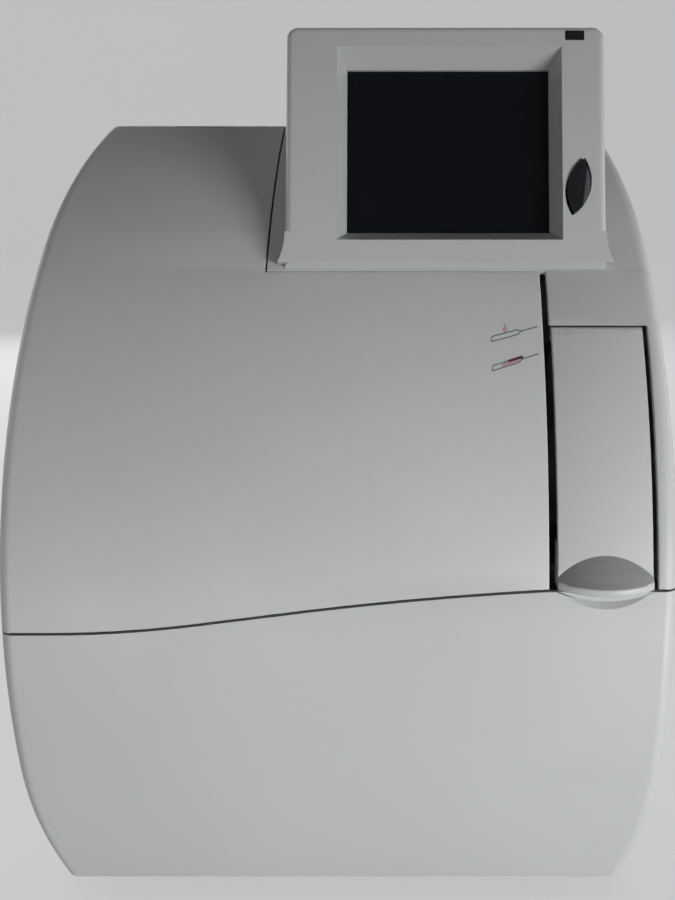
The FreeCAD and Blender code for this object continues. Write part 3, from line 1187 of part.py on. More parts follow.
# Printer under the lid in the top
def printer():
    """The paper well, the roll on its platen, the printing head and the hinged lid."""
    wall, low = size("sheet_thick"), size("well_low")
    left, right, front, back = lid_left, lid_right, lid_front, lid_back
    under = shell_top - skin
    ledge = size("well_ledge")
    well = prism("well_form", "XY", low, under, box_outline(left - ledge, front - ledge, right + ledge,
                                                            back + ledge))
    pocket(well, "well_hollow", "XY", low + wall, under,
           box_outline(left + wall, front + wall, right - wall, back - wall))
    inner_left, inner_right = left + wall, right - wall
    roll_r, roll_y = size("roll_radius"), size("roll_y")
    roll_z = low + wall + roll_r + size("rotor_gap")
    side = size("paper_side")
    spindle = rod("roll_spindle", (inner_left, roll_y, roll_z), X_AXIS, size("shaft_radius"),
                  inner_right - inner_left)
    platen_y, platen_z, platen_r = size("platen_y"), size("platen_z"), size("platen_radius")
    knuckle_room = rod("lid_room", (left - flap_gap * 2, back - size("lid_knuckle"),
                                    shell_top - size("lid_knuckle")), X_AXIS,
                       size("lid_knuckle") + size("knuckle_gap"), right - left + flap_gap * 4)
    node("paper_well", cut("well_body", well, knuckle_room))
    paper = rod("paper_form", (inner_left + side, roll_y, roll_z), X_AXIS, roll_r,
                inner_right - inner_left - side * 2)
    eye = rod("paper_eye", (inner_left, roll_y, roll_z), X_AXIS, size("shaft_radius") +
              size("pin_clearance"), inner_right - inner_left)
    node("paper_roll", cut("paper_body", paper, eye))
    platen = rod("platen_form", (inner_left + side, platen_y, platen_z), X_AXIS, platen_r,
                 inner_right - inner_left - side * 2)
    platen_eye = rod("platen_eye", (inner_left, platen_y, platen_z), X_AXIS, size("stud_radius") +
                     size("pin_clearance"), inner_right - inner_left)
    node("platen_roller", cut("platen_body", platen, platen_eye))
    axle = rod("platen_axle", (inner_left, platen_y, platen_z), X_AXIS, size("stud_radius"),
               inner_right - inner_left)
    node("printer_shafts", group("shafts", spindle, axle))
    head = block("head_form", (inner_left, front + wall, platen_z - platen_r * 2),
                 (inner_right, platen_y - platen_r - fixed_gap, platen_z + platen_r / 2))
    node("print_head", head)
    thick, r = skin, size("lid_knuckle")
    axis_y, axis_z = lid_back - r, shell_top - r
    plate = block("lid_plate", (left, front, shell_top - thick), (right, axis_y, shell_top))
    roll = rod("lid_roll", (left, axis_y, axis_z), X_AXIS, r, right - left)
    bore = rod("lid_bore", (left, axis_y, axis_z), X_AXIS, size("flap_pin_radius") + size("pin_clearance"),
               right - left)
    slot_half = (right - left) / 2 - side - wall
    middle = (left + right) / 2
    paper_slot = block("paper_slot", (middle - slot_half, front + wall, shell_top - skin * 2),
                       (middle + slot_half, front + wall * 2, shell_top + skin))
    grip = block("lid_grip", (middle - side * 2, front, shell_top - thick / 2),
                 (middle + side * 2, front + wall, shell_top + wall / 2))
    whole = fuse("lid_solid", plate, roll, grip)
    node("printer_lid", cut("lid_body", whole, bore, paper_slot))


def build():
    """Makes every sub-part, checks it and writes its file."""
    for make in (upper_cover, top_hinge, lower_cover, lower_hinges, sample_flap, right_panel, console,
                 display, rear_housing, base, back_panel, rear_ports, mains, fan, inner_frame, bottles,
                 measuring_chamber, pumps, valves, sample_module, electronics, printer):
        make()
    doc.recompute()
    for item in doc.Objects:
        if "Invalid" in item.State or "Error" in item.State:
            raise RuntimeError(f"{item.Label} failed: {item.State}")
    os.makedirs("parts", exist_ok=True)
    for item in NODES:
        shape = item.Shape
        if shape.isNull() or not shape.isValid() or not shape.Solids:
            raise RuntimeError(f"{item.Label} has no sound solid")
        shape.exportStep(f"parts/{item.Label}.step")
        print(item.Label, len(shape.Solids), round(shape.Volume))


build()
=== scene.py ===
"""Dresses a compact bench-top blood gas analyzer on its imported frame.

The frame gives every shell, board and moving piece at its real size.  This script gives
each of them its finish, rounds the covers' gap edges, and adds the fine pieces that a
visitor sees: the leaf-shaped standby key, the display behind its glass, the flap's lip,
the printed sample symbols, bottle labels, pump tubes, screws and socket contacts.
"""
import logging
import math
from dataclasses import dataclass, field
from enum import Enum
from typing import Callable, Iterable, Optional

import bmesh
import bpy
from mathutils import Matrix, Vector


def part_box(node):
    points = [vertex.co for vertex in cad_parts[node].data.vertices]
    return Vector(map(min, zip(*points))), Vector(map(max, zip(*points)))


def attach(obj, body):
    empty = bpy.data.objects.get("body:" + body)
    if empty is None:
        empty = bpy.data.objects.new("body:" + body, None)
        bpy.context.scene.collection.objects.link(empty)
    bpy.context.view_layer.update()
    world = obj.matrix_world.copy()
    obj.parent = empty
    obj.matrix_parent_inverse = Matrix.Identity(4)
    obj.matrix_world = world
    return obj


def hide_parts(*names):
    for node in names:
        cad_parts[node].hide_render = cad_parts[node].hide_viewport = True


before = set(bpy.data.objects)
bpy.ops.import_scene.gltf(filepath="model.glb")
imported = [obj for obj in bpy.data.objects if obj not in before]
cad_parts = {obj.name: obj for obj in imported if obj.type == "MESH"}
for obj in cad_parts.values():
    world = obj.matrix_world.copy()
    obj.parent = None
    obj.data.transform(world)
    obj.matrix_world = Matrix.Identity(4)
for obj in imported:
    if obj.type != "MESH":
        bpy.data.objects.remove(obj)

LOG = logging.getLogger("analyzer")
MM = 0.001
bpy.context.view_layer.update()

Point = tuple[float, float, float]
Span = tuple[float, float]

# The arc that the front covers follow, about an axis along X, in millimetres.
FRONT_RADIUS = 375.0
FRONT_Y = 195.0
FRONT_Z = 98.0


class Axis(Enum):
    """The direction a round piece stands in."""

    X = (0.0, math.pi / 2, 0.0)
    Y = (math.pi / 2, 0.0, 0.0)
    Z = (0.0, 0.0, 0.0)


# Nodes and shader groups


def feed(tree: bpy.types.NodeTree, node: bpy.types.Node, sources: dict[object, object]) -> None:
    """Gives a node's inputs their links and values.

    Args:
        tree: The tree that carries the node.
        node: The node to feed.
        sources: For each input, by name or number, its source socket or its fixed value.
    """
    for label, source in sources.items():
        if isinstance(source, bpy.types.NodeSocket):
            tree.links.new(source, node.inputs[label])
        else:
            node.inputs[label].default_value = source


def add_node(tree: bpy.types.NodeTree, kind: str, sources: Optional[dict[object, object]] = None,
             **settings: object) -> bpy.types.Node:
    """Adds a node to a tree.

    Args:
        tree: The tree that takes it.
        kind: The node's type, without its leading ShaderNode.
        sources: For each input, by name or number, its source socket or its fixed value.
        **settings: The node's own settings.

    Returns:
        The node.
    """
    node = tree.nodes.new(f"ShaderNode{kind}")
    for label, value in settings.items():
        setattr(node, label, value)
    feed(tree, node, sources or {})
    return node


class ShaderGroups:
    """The surface effects that several finishes share, each built once."""

    # Fineness and detail of the slow changes of tone and gloss.
    DRIFT = (7.0, 3.0)
    SMEAR = (34.0, 5.0)
    CLOUD = (22.0, 4.0)
    FINE_DETAIL = 2.0
    # The middle of a noise's values, where nearly all of them lie.
    MIDDLE = (0.3, 0.7)
    FLECK = (0.93, 0.93, 0.92, 1)
    FLECK_SHARE = 0.55
    LINE_STRETCH = (0.03, 1.0, 1.0)

    @staticmethod
    def _open(name: str) -> tuple:
        """Starts a shader group with its sockets.

        Args:
            name: The group's name.

        Returns:
            The group, the sockets of its input node and its output node.
        """
        tree = bpy.data.node_groups.new(name, "ShaderNodeTree")
        for way, sockets in (("INPUT", (("Place", "Vector"), ("Tone", "Color"), ("Shade", "Color"),
                                        ("Fine", "Float"), ("Smooth", "Float"), ("Rough", "Float"))),
                             ("OUTPUT", (("Color", "Color"), ("Roughness", "Float"),
                                         ("Height", "Float")))):
            for label, kind in sockets:
                tree.interface.new_socket(name=label, in_out=way, socket_type=f"NodeSocket{kind}")
        return tree, tree.nodes.new("NodeGroupInput").outputs, tree.nodes.new("NodeGroupOutput")

    @staticmethod
    def _noise(tree: bpy.types.NodeTree, place: object, scale: object, detail: float) -> object:
        """Adds a noise.

        Args:
            tree: The group that carries it.
            place: The socket that gives the place.
            scale: A socket or number for the pattern's fineness.
            detail: How many octaves the noise has.

        Returns:
            The noise's value socket.
        """
        return add_node(tree, "TexNoise", {"Detail": detail, "Vector": place,
                                           "Scale": scale}).outputs["Fac"]

    @classmethod
    def _span(cls, tree: bpy.types.NodeTree, value: object, low: object, high: object) -> object:
        """Spreads the middle of a noise between two numbers or sockets.

        Args:
            tree: The group that carries it.
            value: The noise's value socket.
            low: Result at the middle's lower end.
            high: Result at the middle's upper end.

        Returns:
            The spread socket.
        """
        start, stop = cls.MIDDLE
        return add_node(tree, "MapRange", {"From Min": start, "From Max": stop, "Value": value,
                                           "To Min": low, "To Max": high}).outputs["Result"]

    @staticmethod
    def _mix(tree: bpy.types.NodeTree, factor: object, base: object, over: object,
             blend: str = "MIX") -> object:
        """Mixes two colours.

        Args:
            tree: The group that carries it.
            factor: The socket that says how much of the second colour shows.
            base: The first colour's socket.
            over: The second colour's socket or fixed value.
            blend: How the second colour goes over the first.

        Returns:
            The mixed colour's socket.
        """
        return add_node(tree, "Mix", {"Factor": factor, "A": base, "B": over}, data_type="RGBA",
                        blend_type=blend).outputs["Result"]

    @classmethod
    def moulded(cls) -> bpy.types.NodeTree:
        """A spark-eroded moulding: slow drift of tone and gloss, and fine grain with darker flecks.

        Returns:
            The shader group.
        """
        tree, given, end = cls._open("moulded_grain")
        drift = cls._noise(tree, given["Place"], *cls.DRIFT)
        smear = cls._noise(tree, given["Place"], *cls.SMEAR)
        grain = cls._noise(tree, given["Place"], given["Fine"], cls.FINE_DETAIL)
        blend = cls._mix(tree, cls._span(tree, drift, 0.0, 1.0), given["Tone"], given["Shade"])
        fleck = cls._mix(tree, cls._span(tree, grain, 0.0, cls.FLECK_SHARE), blend, cls.FLECK, "MULTIPLY")
        gloss = cls._span(tree, smear, given["Smooth"], given["Rough"])
        feed(tree, end, {"Color": fleck, "Roughness": gloss, "Height": grain})
        return tree

    @classmethod
    def drawn(cls) -> bpy.types.NodeTree:
        """Fine lines one way, as on rolled or brushed metal, with a faint cloud over them.

        Returns:
            The shader group.
        """
        tree, given, end = cls._open("drawn_metal")
        drawn_out = add_node(tree, "Mapping", {"Scale": cls.LINE_STRETCH, "Vector": given["Place"]})
        lines = cls._noise(tree, drawn_out.outputs["Vector"], given["Fine"], cls.FINE_DETAIL)
        cloud = cls._noise(tree, given["Place"], *cls.CLOUD)
        blend = cls._mix(tree, cls._span(tree, lines, 0.0, 1.0), given["Tone"], given["Shade"])
        gloss = cls._span(tree, cloud, given["Smooth"], given["Rough"])
        feed(tree, end, {"Color": blend, "Roughness": gloss, "Height": lines})
        return tree


class Family(Enum):
    """Which shared surface effect a finish is made with."""

    MOULDED = "moulded"
    DRAWN = "drawn"


@dataclass(frozen=True)
class Finish:
    """One finish: its two tones, its gloss and its fine relief."""

    name: str
    tone: Point
    shade: Point
    family: Family = Family.MOULDED
    grain: float = 1600.0
    smooth: float = 0.4
    rough: float = 0.5
    relief: float = 0.05
    relief_deep: float = 0.1
    metal: float = 0.0
    coat: float = 0.0
    coat_rough: float = 0.06
    clear: float = 0.0
    alpha: float = 1.0
    index: float = 1.46
    sheen: float = 0.5

    def build(self, groups: dict[Family, bpy.types.NodeTree]) -> bpy.types.Material:
        """Makes the material.

        Args:
            groups: The shared shader group of each family.

        Returns:
            The material, on Object coordinates.
        """
        material = bpy.data.materials.new(self.name)
        material.use_nodes = True
        tree = material.node_tree
        shader = tree.nodes["Principled BSDF"]
        surface = add_node(tree, "Group", node_tree=groups[self.family])
        feed(tree, surface, {"Place": add_node(tree, "TexCoord").outputs["Object"],
                             "Tone": (*self.tone, 1), "Shade": (*self.shade, 1), "Fine": self.grain,
                             "Smooth": self.smooth, "Rough": self.rough})
        feed(tree, shader, {"Base Color": surface.outputs["Color"],
                            "Roughness": surface.outputs["Roughness"], "Metallic": self.metal,
                            "Coat Weight": self.coat, "Coat Roughness": self.coat_rough,
                            "Transmission Weight": self.clear, "Alpha": self.alpha, "IOR": self.index,
                            "Specular IOR Level": self.sheen})
        if self.relief:
            bump = add_node(tree, "Bump", {"Strength": self.relief, "Distance": self.relief_deep * MM,
                                           "Height": surface.outputs["Height"]})
            feed(tree, shader, {"Normal": bump.outputs["Normal"]})
        return material


FINISHES = {
    "cover": Finish("cover_plastic", (0.485, 0.50, 0.497), (0.46, 0.475, 0.472), grain=1500, smooth=0.42,
                    rough=0.52, relief=0.10),
    "console": Finish("console_plastic", (0.465, 0.482, 0.472), (0.44, 0.457, 0.447), grain=1900,
                      smooth=0.36, rough=0.46, relief=0.07),
    # Grip on the flap's lip: real fine drawn lines, with a tone far darker than the cover's that is painted
    # shade on its up-facing slopes.
    "grip": Finish("lip_grip", (0.26, 0.27, 0.265), (0.225, 0.234, 0.23), Family.DRAWN, 420, 0.50, 0.62,
                   0.25),
    "screen": Finish("screen_glass", (0.004, 0.006, 0.009), (0.003, 0.005, 0.008), grain=300, smooth=0.12,
                     rough=0.2, relief=0.0, sheen=0.3),
    "lcd": Finish("display_area", (0.002, 0.003, 0.005), (0.0015, 0.0025, 0.004), grain=2600, smooth=0.22,
                  rough=0.28, relief=0.0),
    "key": Finish("key_gloss", (0.010, 0.012, 0.016), (0.007, 0.009, 0.012), grain=900, smooth=0.10,
                  rough=0.2, relief=0.02, coat=0.8),
    "key_side": Finish("key_groove", (0.10, 0.10, 0.10), (0.07, 0.07, 0.07), grain=900, smooth=0.3,
                       rough=0.42, relief=0.04),
    "lamp": Finish("smoked_window", (0.012, 0.010, 0.010), (0.008, 0.007, 0.007), grain=700, smooth=0.08,
                   rough=0.14, relief=0.0, coat=0.6),
    "rubber": Finish("foot_rubber", (0.028, 0.028, 0.028), (0.018, 0.018, 0.018), grain=700, smooth=0.68,
                     rough=0.85, relief=0.25),
    "silicone": Finish("port_silicone", (0.62, 0.58, 0.50), (0.55, 0.51, 0.44), grain=600, smooth=0.35,
                       rough=0.5, relief=0.04, coat=0.1),
    "sheet": Finish("sheet_steel", (0.42, 0.43, 0.44), (0.36, 0.37, 0.38), grain=420, smooth=0.42,
                    rough=0.6, relief=0.12, metal=0.15),
    "bright": Finish("bright_steel", (0.60, 0.60, 0.61), (0.50, 0.50, 0.51), Family.DRAWN, 900, 0.2, 0.34,
                     0.06, metal=1.0),
    "motor": Finish("motor_steel", (0.50, 0.49, 0.47), (0.40, 0.39, 0.38), Family.DRAWN, 500, 0.28, 0.42,
                    0.08, metal=1.0),
    "board": Finish("circuit_board", (0.016, 0.10, 0.045), (0.010, 0.075, 0.035), grain=260, smooth=0.3,
                    rough=0.45, relief=0.05, coat=0.3),
    "black": Finish("black_plastic", (0.018, 0.018, 0.020), (0.012, 0.012, 0.013), grain=1300, smooth=0.42,
                    rough=0.6, relief=0.14),
    "grey": Finish("inner_plastic", (0.30, 0.315, 0.33), (0.26, 0.275, 0.29), grain=1300, smooth=0.4,
                   rough=0.55, relief=0.12),
    "block": Finish("chamber_polymer", (0.50, 0.50, 0.47), (0.45, 0.45, 0.42), grain=800, smooth=0.3,
                    rough=0.42, relief=0.06),
    "clear": Finish("clear_plastic", (0.86, 0.90, 0.92), (0.82, 0.87, 0.90), grain=200, smooth=0.03,
                    rough=0.06, relief=0.0, clear=0.9, alpha=0.5, index=1.49),
    "rotor": Finish("rotor_plastic", (0.66, 0.66, 0.63), (0.60, 0.60, 0.57), grain=1100, smooth=0.32,
                    rough=0.45, relief=0.05),
    "sensor": Finish("sensor_body", (0.66, 0.63, 0.56), (0.60, 0.57, 0.50), grain=900, smooth=0.2,
                     rough=0.32, relief=0.03, coat=0.3),
    "bottle": Finish("bottle_plastic", (0.70, 0.72, 0.70), (0.64, 0.66, 0.64), grain=500, smooth=0.22,
                     rough=0.34, relief=0.04, coat=0.15),
    "paper": Finish("paper_roll", (0.74, 0.74, 0.71), (0.70, 0.70, 0.67), grain=2400, smooth=0.7,
                    rough=0.85, relief=0.12),
    "platen": Finish("platen_rubber", (0.03, 0.03, 0.03), (0.02, 0.02, 0.02), grain=1500, smooth=0.6,
                     rough=0.75, relief=0.18),
    "print_grey": Finish("symbol_ink", (0.10, 0.11, 0.115), (0.08, 0.085, 0.09), grain=2400, smooth=0.45,
                         rough=0.6, relief=0.02),
    "print_red": Finish("symbol_red", (0.10, 0.035, 0.042), (0.08, 0.03, 0.035), grain=2400, smooth=0.45,
                        rough=0.6, relief=0.02),
    "print_pink": Finish("symbol_pink", (0.50, 0.30, 0.31), (0.45, 0.27, 0.28), grain=2400, smooth=0.45,
                         rough=0.6, relief=0.02),
    "gold": Finish("contact_gold", (0.80, 0.58, 0.24), (0.70, 0.50, 0.20), Family.DRAWN, 700, 0.18, 0.3,
                   0.03, metal=1.0),
    "band_blue": Finish("band_blue", (0.03, 0.13, 0.33), (0.025, 0.11, 0.28), grain=1800, relief=0.03),
    "band_amber": Finish("band_amber", (0.55, 0.30, 0.03), (0.48, 0.26, 0.03), grain=1800, relief=0.03),
    "band_green": Finish("band_green", (0.04, 0.26, 0.12), (0.035, 0.22, 0.10), grain=1800, relief=0.03),
    "band_red": Finish("band_red", (0.38, 0.04, 0.04), (0.33, 0.035, 0.035), grain=1800, relief=0.03),
    # Near-black sheet for the bay shelf: painted shade, so the slot beside the flap looks dark.
    "slot_shade_sheet": Finish("slot_painted_shade_sheet", (0.030, 0.031, 0.033), (0.022, 0.023, 0.025), grain=420,
                         smooth=0.45, rough=0.62, relief=0.12),
    "tube": Finish("clear_tube", (0.72, 0.72, 0.66), (0.66, 0.66, 0.60), grain=300, smooth=0.16,
                   rough=0.24, relief=0.01, coat=0.4),
}

NODE_FINISH = {
    "cover": ("upper_cover", "lower_cover", "sample_flap", "right_panel", "console_panel",
              "rear_housing", "printer_lid"),
    "console": ("console_housing",), "screen": ("touch_glass",), "key": ("standby_button",),
    "lamp": ("lamp_window",), "rubber": ("rubber_feet",), "silicone": ("fill_port",),
    "sheet": ("base_plate", "bulkhead", "back_panel", "lower_hinge_brackets", "top_hinge_bracket"),
    # The bay shelf in near-black: painted shade behind the slot beside the flap.
    "slot_shade_sheet": ("bay_shelf",),
    "bright": ("power_supply", "top_hinge_pin", "lower_hinge_pins", "flap_pin", "printer_shafts",
               "display_module", "sample_needle", "rear_ports"),
    "board": ("display_boards", "main_board"),
    "black": ("mains_inlet", "power_switch", "fan_frame", "fan_impeller", "docking_rail",
              "solenoid_valves", "print_head", "chamber_lever"),
    "grey": ("bottle_tray", "drip_tray", "sample_block", "docking_disc", "valve_block", "pump_head_1",
             "pump_head_2", "pump_head_3", "paper_well", "bottle_caps"),
    "block": ("measuring_chamber",), "clear": ("chamber_door",),
    "rotor": ("pump_rotor_1", "pump_rotor_2", "pump_rotor_3"), "motor": ("pump_motors",),
    "sensor": ("sensors",), "bottle": ("bottle_1", "bottle_2", "bottle_3", "bottle_4"),
    "paper": ("paper_roll",), "platen": ("platen_roller",),
}


class Wardrobe:
    """Holds every material and puts it on pieces."""

    def __init__(self) -> None:
        """Builds the shader groups and the materials."""
        groups = {Family.MOULDED: ShaderGroups.moulded(), Family.DRAWN: ShaderGroups.drawn()}
        self.materials = {key: finish.build(groups) for key, finish in FINISHES.items()}

    def dress(self, piece: bpy.types.Object, key: str) -> bpy.types.Object:
        """Gives a piece one finish all over.

        Args:
            piece: The object to dress.
            key: The finish's key.

        Returns:
            The same object.
        """
        material = self.materials[key]
        if not piece.material_slots:
            piece.data.materials.append(material)
        for place in piece.material_slots:
            place.material = material
        return piece

    def dress_frame(self) -> None:
        """Gives every node of the frame its finish."""
        left = set(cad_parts)
        for key, names in NODE_FINISH.items():
            for name in names:
                self.dress(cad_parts[name], key)
                left.discard(name)
        if left:
            LOG.warning("nodes without a finish: %s", sorted(left))


# Modelling bench


class Bench:
    """The modelling steps that the sub-assemblies share."""

    @staticmethod
    def clear() -> None:
        """Goes to object mode and deselects everything."""
        if bpy.context.object and bpy.context.object.mode != "OBJECT":
            bpy.ops.object.mode_set(mode="OBJECT")
        bpy.ops.object.select_all(action="DESELECT")

    @classmethod
    def take(cls, piece: bpy.types.Object) -> None:
        """Makes one piece the selected and active one.

        Args:
            piece: The piece to take.
        """
        cls.clear()
        piece.select_set(True)
        bpy.context.view_layer.objects.active = piece

    @classmethod
    def settle(cls, piece: bpy.types.Object, angle: float = 30.0) -> bpy.types.Object:
        """Applies a piece's place, turn and scale, and smooths its shading.

        Args:
            piece: The finished piece.
            angle: Edges sharper than this many degrees stay sharp.

        Returns:
            The piece, its object at the origin.
        """
        cls.take(piece)
        bpy.ops.object.transform_apply(location=True, rotation=True, scale=True)
        bpy.ops.object.shade_smooth_by_angle(angle=math.radians(angle))
        return piece

    @classmethod
    def start(cls, name: str, add: Callable[..., object], centre: Point, scale: Point = (1, 1, 1),
              **shape: object) -> bpy.types.Object:
        """Adds a basic shape and applies its place, turn and scale.

        Args:
            name: The new object's name.
            add: The operator that adds the shape.
            centre: The shape's middle in millimetres.
            scale: Its scale.
            **shape: The operator's other values.

        Returns:
            The shape.
        """
        cls.clear()
        add(location=[value * MM for value in centre], **shape)
        piece = bpy.context.object
        piece.name = name
        piece.scale = scale
        bpy.ops.object.transform_apply(location=True, rotation=True, scale=True)
        return piece

    @classmethod
    def slab(cls, name: str, low: Point, high: Point) -> bpy.types.Object:
        """A block between two corners in millimetres."""
        return cls.start(name, bpy.ops.mesh.primitive_cube_add, [(a + b) / 2 for a, b in zip(low, high)],
                         [(b - a) * MM for a, b in zip(low, high)], size=1)

    @classmethod
    def disc(cls, name: str, centre: Point, axis: Axis, radius: float, length: float,
             sides: int = 32) -> bpy.types.Object:
        """A cylinder round a centre in millimetres.

        Args:
            name: The new object's name.
            centre: The cylinder's middle.
            axis: The way it stands.
            radius: Its radius.
            length: Its length.
            sides: How many sides its circle has.

        Returns:
            The cylinder.
        """
        return cls.start(name, bpy.ops.mesh.primitive_cylinder_add, centre, vertices=sides,
                         radius=radius * MM, depth=length * MM, rotation=axis.value)

    @classmethod
    def ring(cls, name: str, centre: Point, radius: float, thick: float, sides: int) -> bpy.types.Object:
        """A ring round a centre in millimetres that faces along Y.

        Args:
            name: The new object's name.
            centre: The ring's middle.
            radius: Its radius.
            thick: Radius of its round wire.
            sides: How many sides its circle has.

        Returns:
            The ring.
        """
        return cls.start(name, bpy.ops.mesh.primitive_torus_add, centre, rotation=Axis.Y.value,
                         major_segments=sides, minor_segments=8, major_radius=radius * MM,
                         minor_radius=thick * MM)

    @classmethod
    def pick(cls, piece: bpy.types.Object, test: Callable[[Vector, Vector], bool]) -> int:
        """Enters edit mode and selects the faces that pass a test.

        Args:
            piece: The piece to edit.
            test: Gets a face's middle in millimetres and its normal.

        Returns:
            How many faces are selected.
        """
        cls.take(piece)
        bpy.ops.object.mode_set(mode="EDIT")
        bpy.ops.mesh.select_mode(type="FACE")
        bpy.ops.mesh.select_all(action="DESELECT")
        shape = bmesh.from_edit_mesh(piece.data)
        count = 0
        for face in shape.faces:
            if test(face.calc_center_median() / MM, face.normal):
                face.select_set(True)
                count += 1
        bmesh.update_edit_mesh(piece.data)
        return count

    @classmethod
    def modify(cls, piece: bpy.types.Object, kind: str, **values: object) -> bpy.types.Object:
        """Adds a modifier with its values and applies it.

        Args:
            piece: The piece that takes it.
            kind: The modifier's type.
            **values: The modifier's settings.

        Returns:
            The piece.
        """
        cls.take(piece)
        step = piece.modifiers.new(kind.lower(), kind)
        for label, value in values.items():
            setattr(step, label, value)
        bpy.ops.object.modifier_apply(modifier=step.name)
        return piece

    @classmethod
    def soften(cls, piece: bpy.types.Object, width: float, segments: int = 3) -> bpy.types.Object:
        """Rounds a piece's sharp edges by a width in millimetres."""
        return cls.modify(piece, "BEVEL", width=width * MM, segments=segments, limit_method="ANGLE",
                          angle_limit=math.radians(35), harden_normals=False)

    @classmethod
    def carve(cls, piece: bpy.types.Object, tool: bpy.types.Object,
              way: str = "DIFFERENCE") -> bpy.types.Object:
        """Cuts a tool out of a piece, or joins or crosses the two, and removes the tool.

        Args:
            piece: The piece that stays.
            tool: The shape that works on it.
            way: DIFFERENCE, UNION or INTERSECT.

        Returns:
            The piece.
        """
        cls.modify(piece, "BOOLEAN", object=tool, operation=way, solver="EXACT")
        mesh = tool.data
        bpy.data.objects.remove(tool)
        bpy.data.meshes.remove(mesh)
        return piece

    @classmethod
    def copy(cls, piece: bpy.types.Object, name: str, change: Matrix) -> bpy.types.Object:
        """A copy with its own mesh, moved or turned.

        Args:
            piece: The piece to copy.
            name: The copy's name.
            change: Where the copy goes, in metres.

        Returns:
            The copy.
        """
        twin = piece.copy()
        twin.data = piece.data.copy()
        twin.name = name
        twin.data.transform(change)
        bpy.context.collection.objects.link(twin)
        return twin

    @classmethod
    def join(cls, name: str, pieces: Iterable[bpy.types.Object]) -> bpy.types.Object:
        """Makes several pieces one object.

        Args:
            name: The joined object's name.
            pieces: The pieces, the first of which takes the others in.

        Returns:
            The joined object.
        """
        group = list(pieces)
        cls.take(group[0])
        for piece in group[1:]:
            piece.select_set(True)
        if len(group) > 1:
            bpy.ops.object.join()
        whole = bpy.context.object
        whole.name = name
        return whole

    @classmethod
    def lay_on(cls, piece: bpy.types.Object, node: str, lift: float, thick: float) -> bpy.types.Object:
        """Presses a flat piece onto a node's face and gives it a thickness.

        Args:
            piece: The flat piece, in front of the face.
            node: The node it lies on.
            lift: Its height over the face in millimetres.
            thick: Its own thickness in millimetres.

        Returns:
            The piece.
        """
        cls.modify(piece, "SHRINKWRAP", target=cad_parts[node], wrap_method="PROJECT",
                   use_project_x=False, use_project_y=True, use_project_z=False,
                   use_negative_direction=True, use_positive_direction=True, offset=lift * MM)
        return cls.modify(piece, "SOLIDIFY", thickness=thick * MM, offset=1.0)


@dataclass
class SubAssembly:
    """A part of the analyzer with its finish and its fine pieces."""

    wardrobe: Wardrobe
    made: list[str] = field(default_factory=list)

    def keep(self, piece: bpy.types.Object, body: str, finish: str, slot: str,
             *stands_for: str) -> bpy.types.Object:
        """Dresses a finished piece and ties it to the body that carries it.

        Args:
            piece: The finished piece.
            body: The body it rides on.
            finish: The finish's key.
            slot: The record's material slot; not used.
            *stands_for: Nodes that it replaces.

        Returns:
            The piece.
        """
        Bench.settle(piece)
        self.wardrobe.dress(piece, finish)
        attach(piece, body)
        if stands_for:
            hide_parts(*stands_for)
        self.made.append(piece.name)
        return piece

    def build(self) -> None:
        """Makes the sub-assembly's pieces."""
        raise NotImplementedError

    def report(self) -> None:
        """Logs what was made."""
        LOG.info("%s: %s", type(self).__name__, ", ".join(self.made) or "finishes only")


# Console


